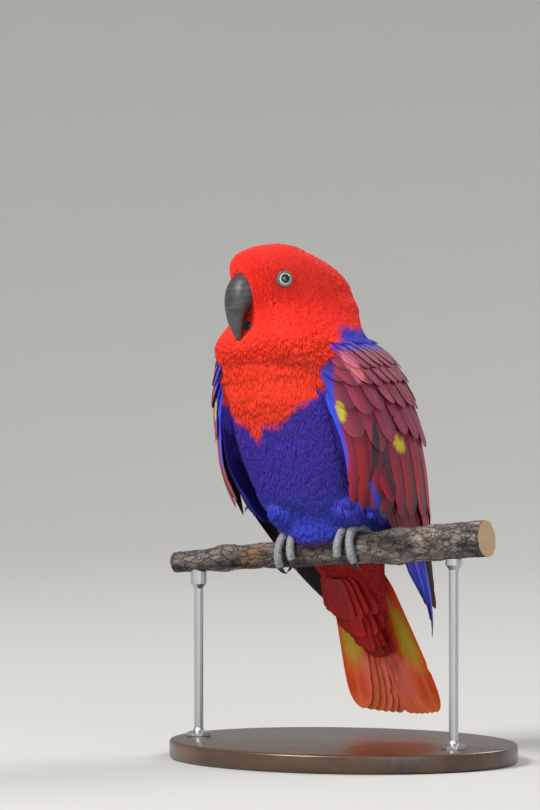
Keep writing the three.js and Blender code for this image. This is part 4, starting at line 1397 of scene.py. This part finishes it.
def make_foot(name, side):
    """Shank, pad and four toes in one skin, and the claws on their own."""
    at = FOOT_PLACES[side]
    bottom = perch_point(at, 0, perch_radius(at) + 4.6)
    top = np.array([perch_point(at, 0, 0)[0], -1, 34])
    shares = np.linspace(0, 1, 26)
    radii = [4.2 + 0.22 * abs(math.sin(t * 24)) for t in shares]
    shank = swept_tube("shank", [bottom + (top - bottom) * t for t in shares], radii, 8)
    bpy.ops.mesh.primitive_uv_sphere_add(segments=24, ring_count=16, radius=1, location=place(bottom))
    pad = bpy.context.object
    pad.scale = (0.0062, 0.006, 0.0038)
    settled(pad)
    toes = [toe_parts(at, side, *toe) for toe in TOES]
    flesh = merged([shank, pad] + [toe for toe, claw in toes], "foot_flesh")
    modified(flesh, "REMESH", mode="VOXEL", voxel_size=FOOT_VOXEL)
    modified(flesh, "SMOOTH", factor=0.4, iterations=1)
    finished(smoothed(flesh), f"foot_{name}_skin", FOOT_SKIN, "foot_skin", f"foot_{name}")
    claws = merged([claw for toe, claw in toes], "claws")
    finished(smoothed(claws), f"claws_{name}", CLAW_HORN, "bill_horn")


for name, side in SIDES.items():
    make_foot(name, side)

# Perch and stand

BARK = bark_finish()


def make_perch():
    """The branch: bark with swellings and furrows, and two sawn ends with rings."""
    bark = rounded_copy("perch", "bark_branch", 0.0007, 4)
    normals = np.array([v.normal for v in bark.data.vertices])
    side = bark.vertex_groups.new(name="side")
    side.add(np.flatnonzero(np.abs(normals @ PERCH_ALONG) < 0.6).tolist(), 1.0, "REPLACE")
    for scale, strength in ((0.013, 0.0013), (0.0035, 0.001), (0.0016, 0.0005)):
        texture = bpy.data.textures.new("bark_relief", "CLOUDS")
        texture.noise_scale = scale
        texture.noise_depth = 3
        modified(bark, "DISPLACE", texture=texture, strength=strength, mid_level=0.62, vertex_group="side")
    faces = np.array([f.normal for f in bark.data.polygons])
    bark.data.polygons.foreach_set("select", np.abs(faces @ PERCH_ALONG) > 0.8)
    pick(bark)
    bpy.ops.object.mode_set(mode="EDIT")
    bpy.ops.mesh.select_mode(type="FACE")
    bpy.ops.mesh.separate(type="SELECTED")
    bpy.ops.object.mode_set(mode="OBJECT")
    ends = next(each for each in bpy.context.selected_objects if each is not bark)
    spots = np.array([v.co for v in ends.data.vertices]) / MM - ORIGIN
    rings = np.linalg.norm(spots - np.outer(spots @ PERCH_ALONG, PERCH_ALONG), axis=1)
    ends.data.attributes.new("ring", "FLOAT", "POINT").data.foreach_set("value", rings)
    finished(smoothed(bark), "bark_branch", BARK, "bark", "perch")
    finished(smoothed(ends), "sawn_ends", cut_wood_finish(), "bark")


def make_base():
    """The board, with a rounded upper edge."""
    length, depth, thickness = BASE_SIZE
    bpy.ops.mesh.primitive_cylinder_add(vertices=128, radius=1, depth=1, location=(0, 0, thickness / 2 * MM))
    board = bpy.context.object
    board.scale = (length / 2 * MM, depth / 2 * MM, thickness * MM)
    settled(board)
    modified(board, "BEVEL", width=0.002, segments=4, limit_method="ANGLE", angle_limit=math.radians(40))
    finished(smoothed(board, 35), "base_board", stained_wood_finish(), "stand_wood", "stand_base")


make_perch()
make_base()
STEEL = steel_finish()
for node in ("stand_rod_left", "stand_rod_right"):
    material_slot(frame["nodes"][node], STEEL)

# Floor, light and camera

STAGE_RADIUS = 7  # this and the next three are in metres
STAGE_HEIGHT = 5
STAGE_CURVE = 4.6
FLOOR_DROP = 0.0002  # of the floor under the base


def make_stage():
    """A pale floor that curves up into a backdrop on every side."""
    finish = Finish("studio_floor", Roughness=0.9)
    grain = finish.noise(14, 3)
    finish.set(Base_Color=finish.blend(grain * 0.12, (0.56, 0.56, 0.55), (0.5, 0.5, 0.49)))
    middle = (0, 0, STAGE_HEIGHT / 2 - FLOOR_DROP)
    bpy.ops.mesh.primitive_cylinder_add(
        vertices=128, radius=STAGE_RADIUS, depth=STAGE_HEIGHT, location=middle
    )
    sweep = settled(bpy.context.object)
    shell = bmesh.new()
    shell.from_mesh(sweep.data)
    bmesh.ops.delete(shell, geom=[f for f in shell.faces if f.normal.z > 0.9], context="FACES")
    bmesh.ops.reverse_faces(shell, faces=shell.faces)
    shell.to_mesh(sweep.data)
    shell.free()
    turn = math.radians(40)
    modified(sweep, "BEVEL", width=STAGE_CURVE, segments=32, limit_method="ANGLE", angle_limit=turn)
    smoothed(sweep)
    sweep.name = "studio_floor"
    material_slot(sweep, finish.material)


def area_light(name, location, target, size, power, colour):
    light = bpy.data.lights.new(name, "AREA")
    light.size, light.energy, light.color = size, power, colour
    lamp = bpy.data.objects.new(name, light)
    lamp.location = location
    lamp.rotation_euler = (Vector(target) - Vector(location)).to_track_quat("-Z", "Y").to_euler()
    bpy.context.collection.objects.link(lamp)


def make_camera(azimuth, elevation, distance, lens, target):
    """A camera by its angle round to the bird's left of straight ahead, and its angle up."""
    a, e = math.radians(azimuth), math.radians(elevation)
    back = Vector((math.sin(a) * math.cos(e), -math.cos(a) * math.cos(e), math.sin(e)))
    data = bpy.data.cameras.new("camera")
    data.lens, data.sensor_width = lens, 36
    data.clip_start, data.clip_end = 0.05, 60
    camera = bpy.data.objects.new("camera", data)
    camera.location = Vector(target) + back * distance
    camera.rotation_euler = (-back).to_track_quat("-Z", "Y").to_euler()
    bpy.context.collection.objects.link(camera)
    bpy.context.scene.camera = camera


deselect()
make_stage()
MIDDLE = (-0.02, -0.02, 0.19)
area_light("key", (-0.98, -2.98, 2.81), MIDDLE, 1.6, 184, (1.0, 0.97, 0.92))
area_light("fill", (3.22, -2.18, 1.41), MIDDLE, 2.8, 60, (0.93, 0.96, 1.0))
area_light("rim", (1.22, 3.02, 2.61), MIDDLE, 1.8, 72, (1.0, 0.98, 0.95))
world = bpy.data.worlds.new("studio")
world.use_nodes = True
world.node_tree.nodes["Background"].inputs[0].default_value = (0.82, 0.83, 0.84, 1)
world.node_tree.nodes["Background"].inputs[1].default_value = 0.5
bpy.context.scene.world = world
bpy.context.scene.view_settings.view_transform = "Standard"
make_camera(35, 1.2, 3.2, 222, (-0.03359, -0.03352, 0.2281))
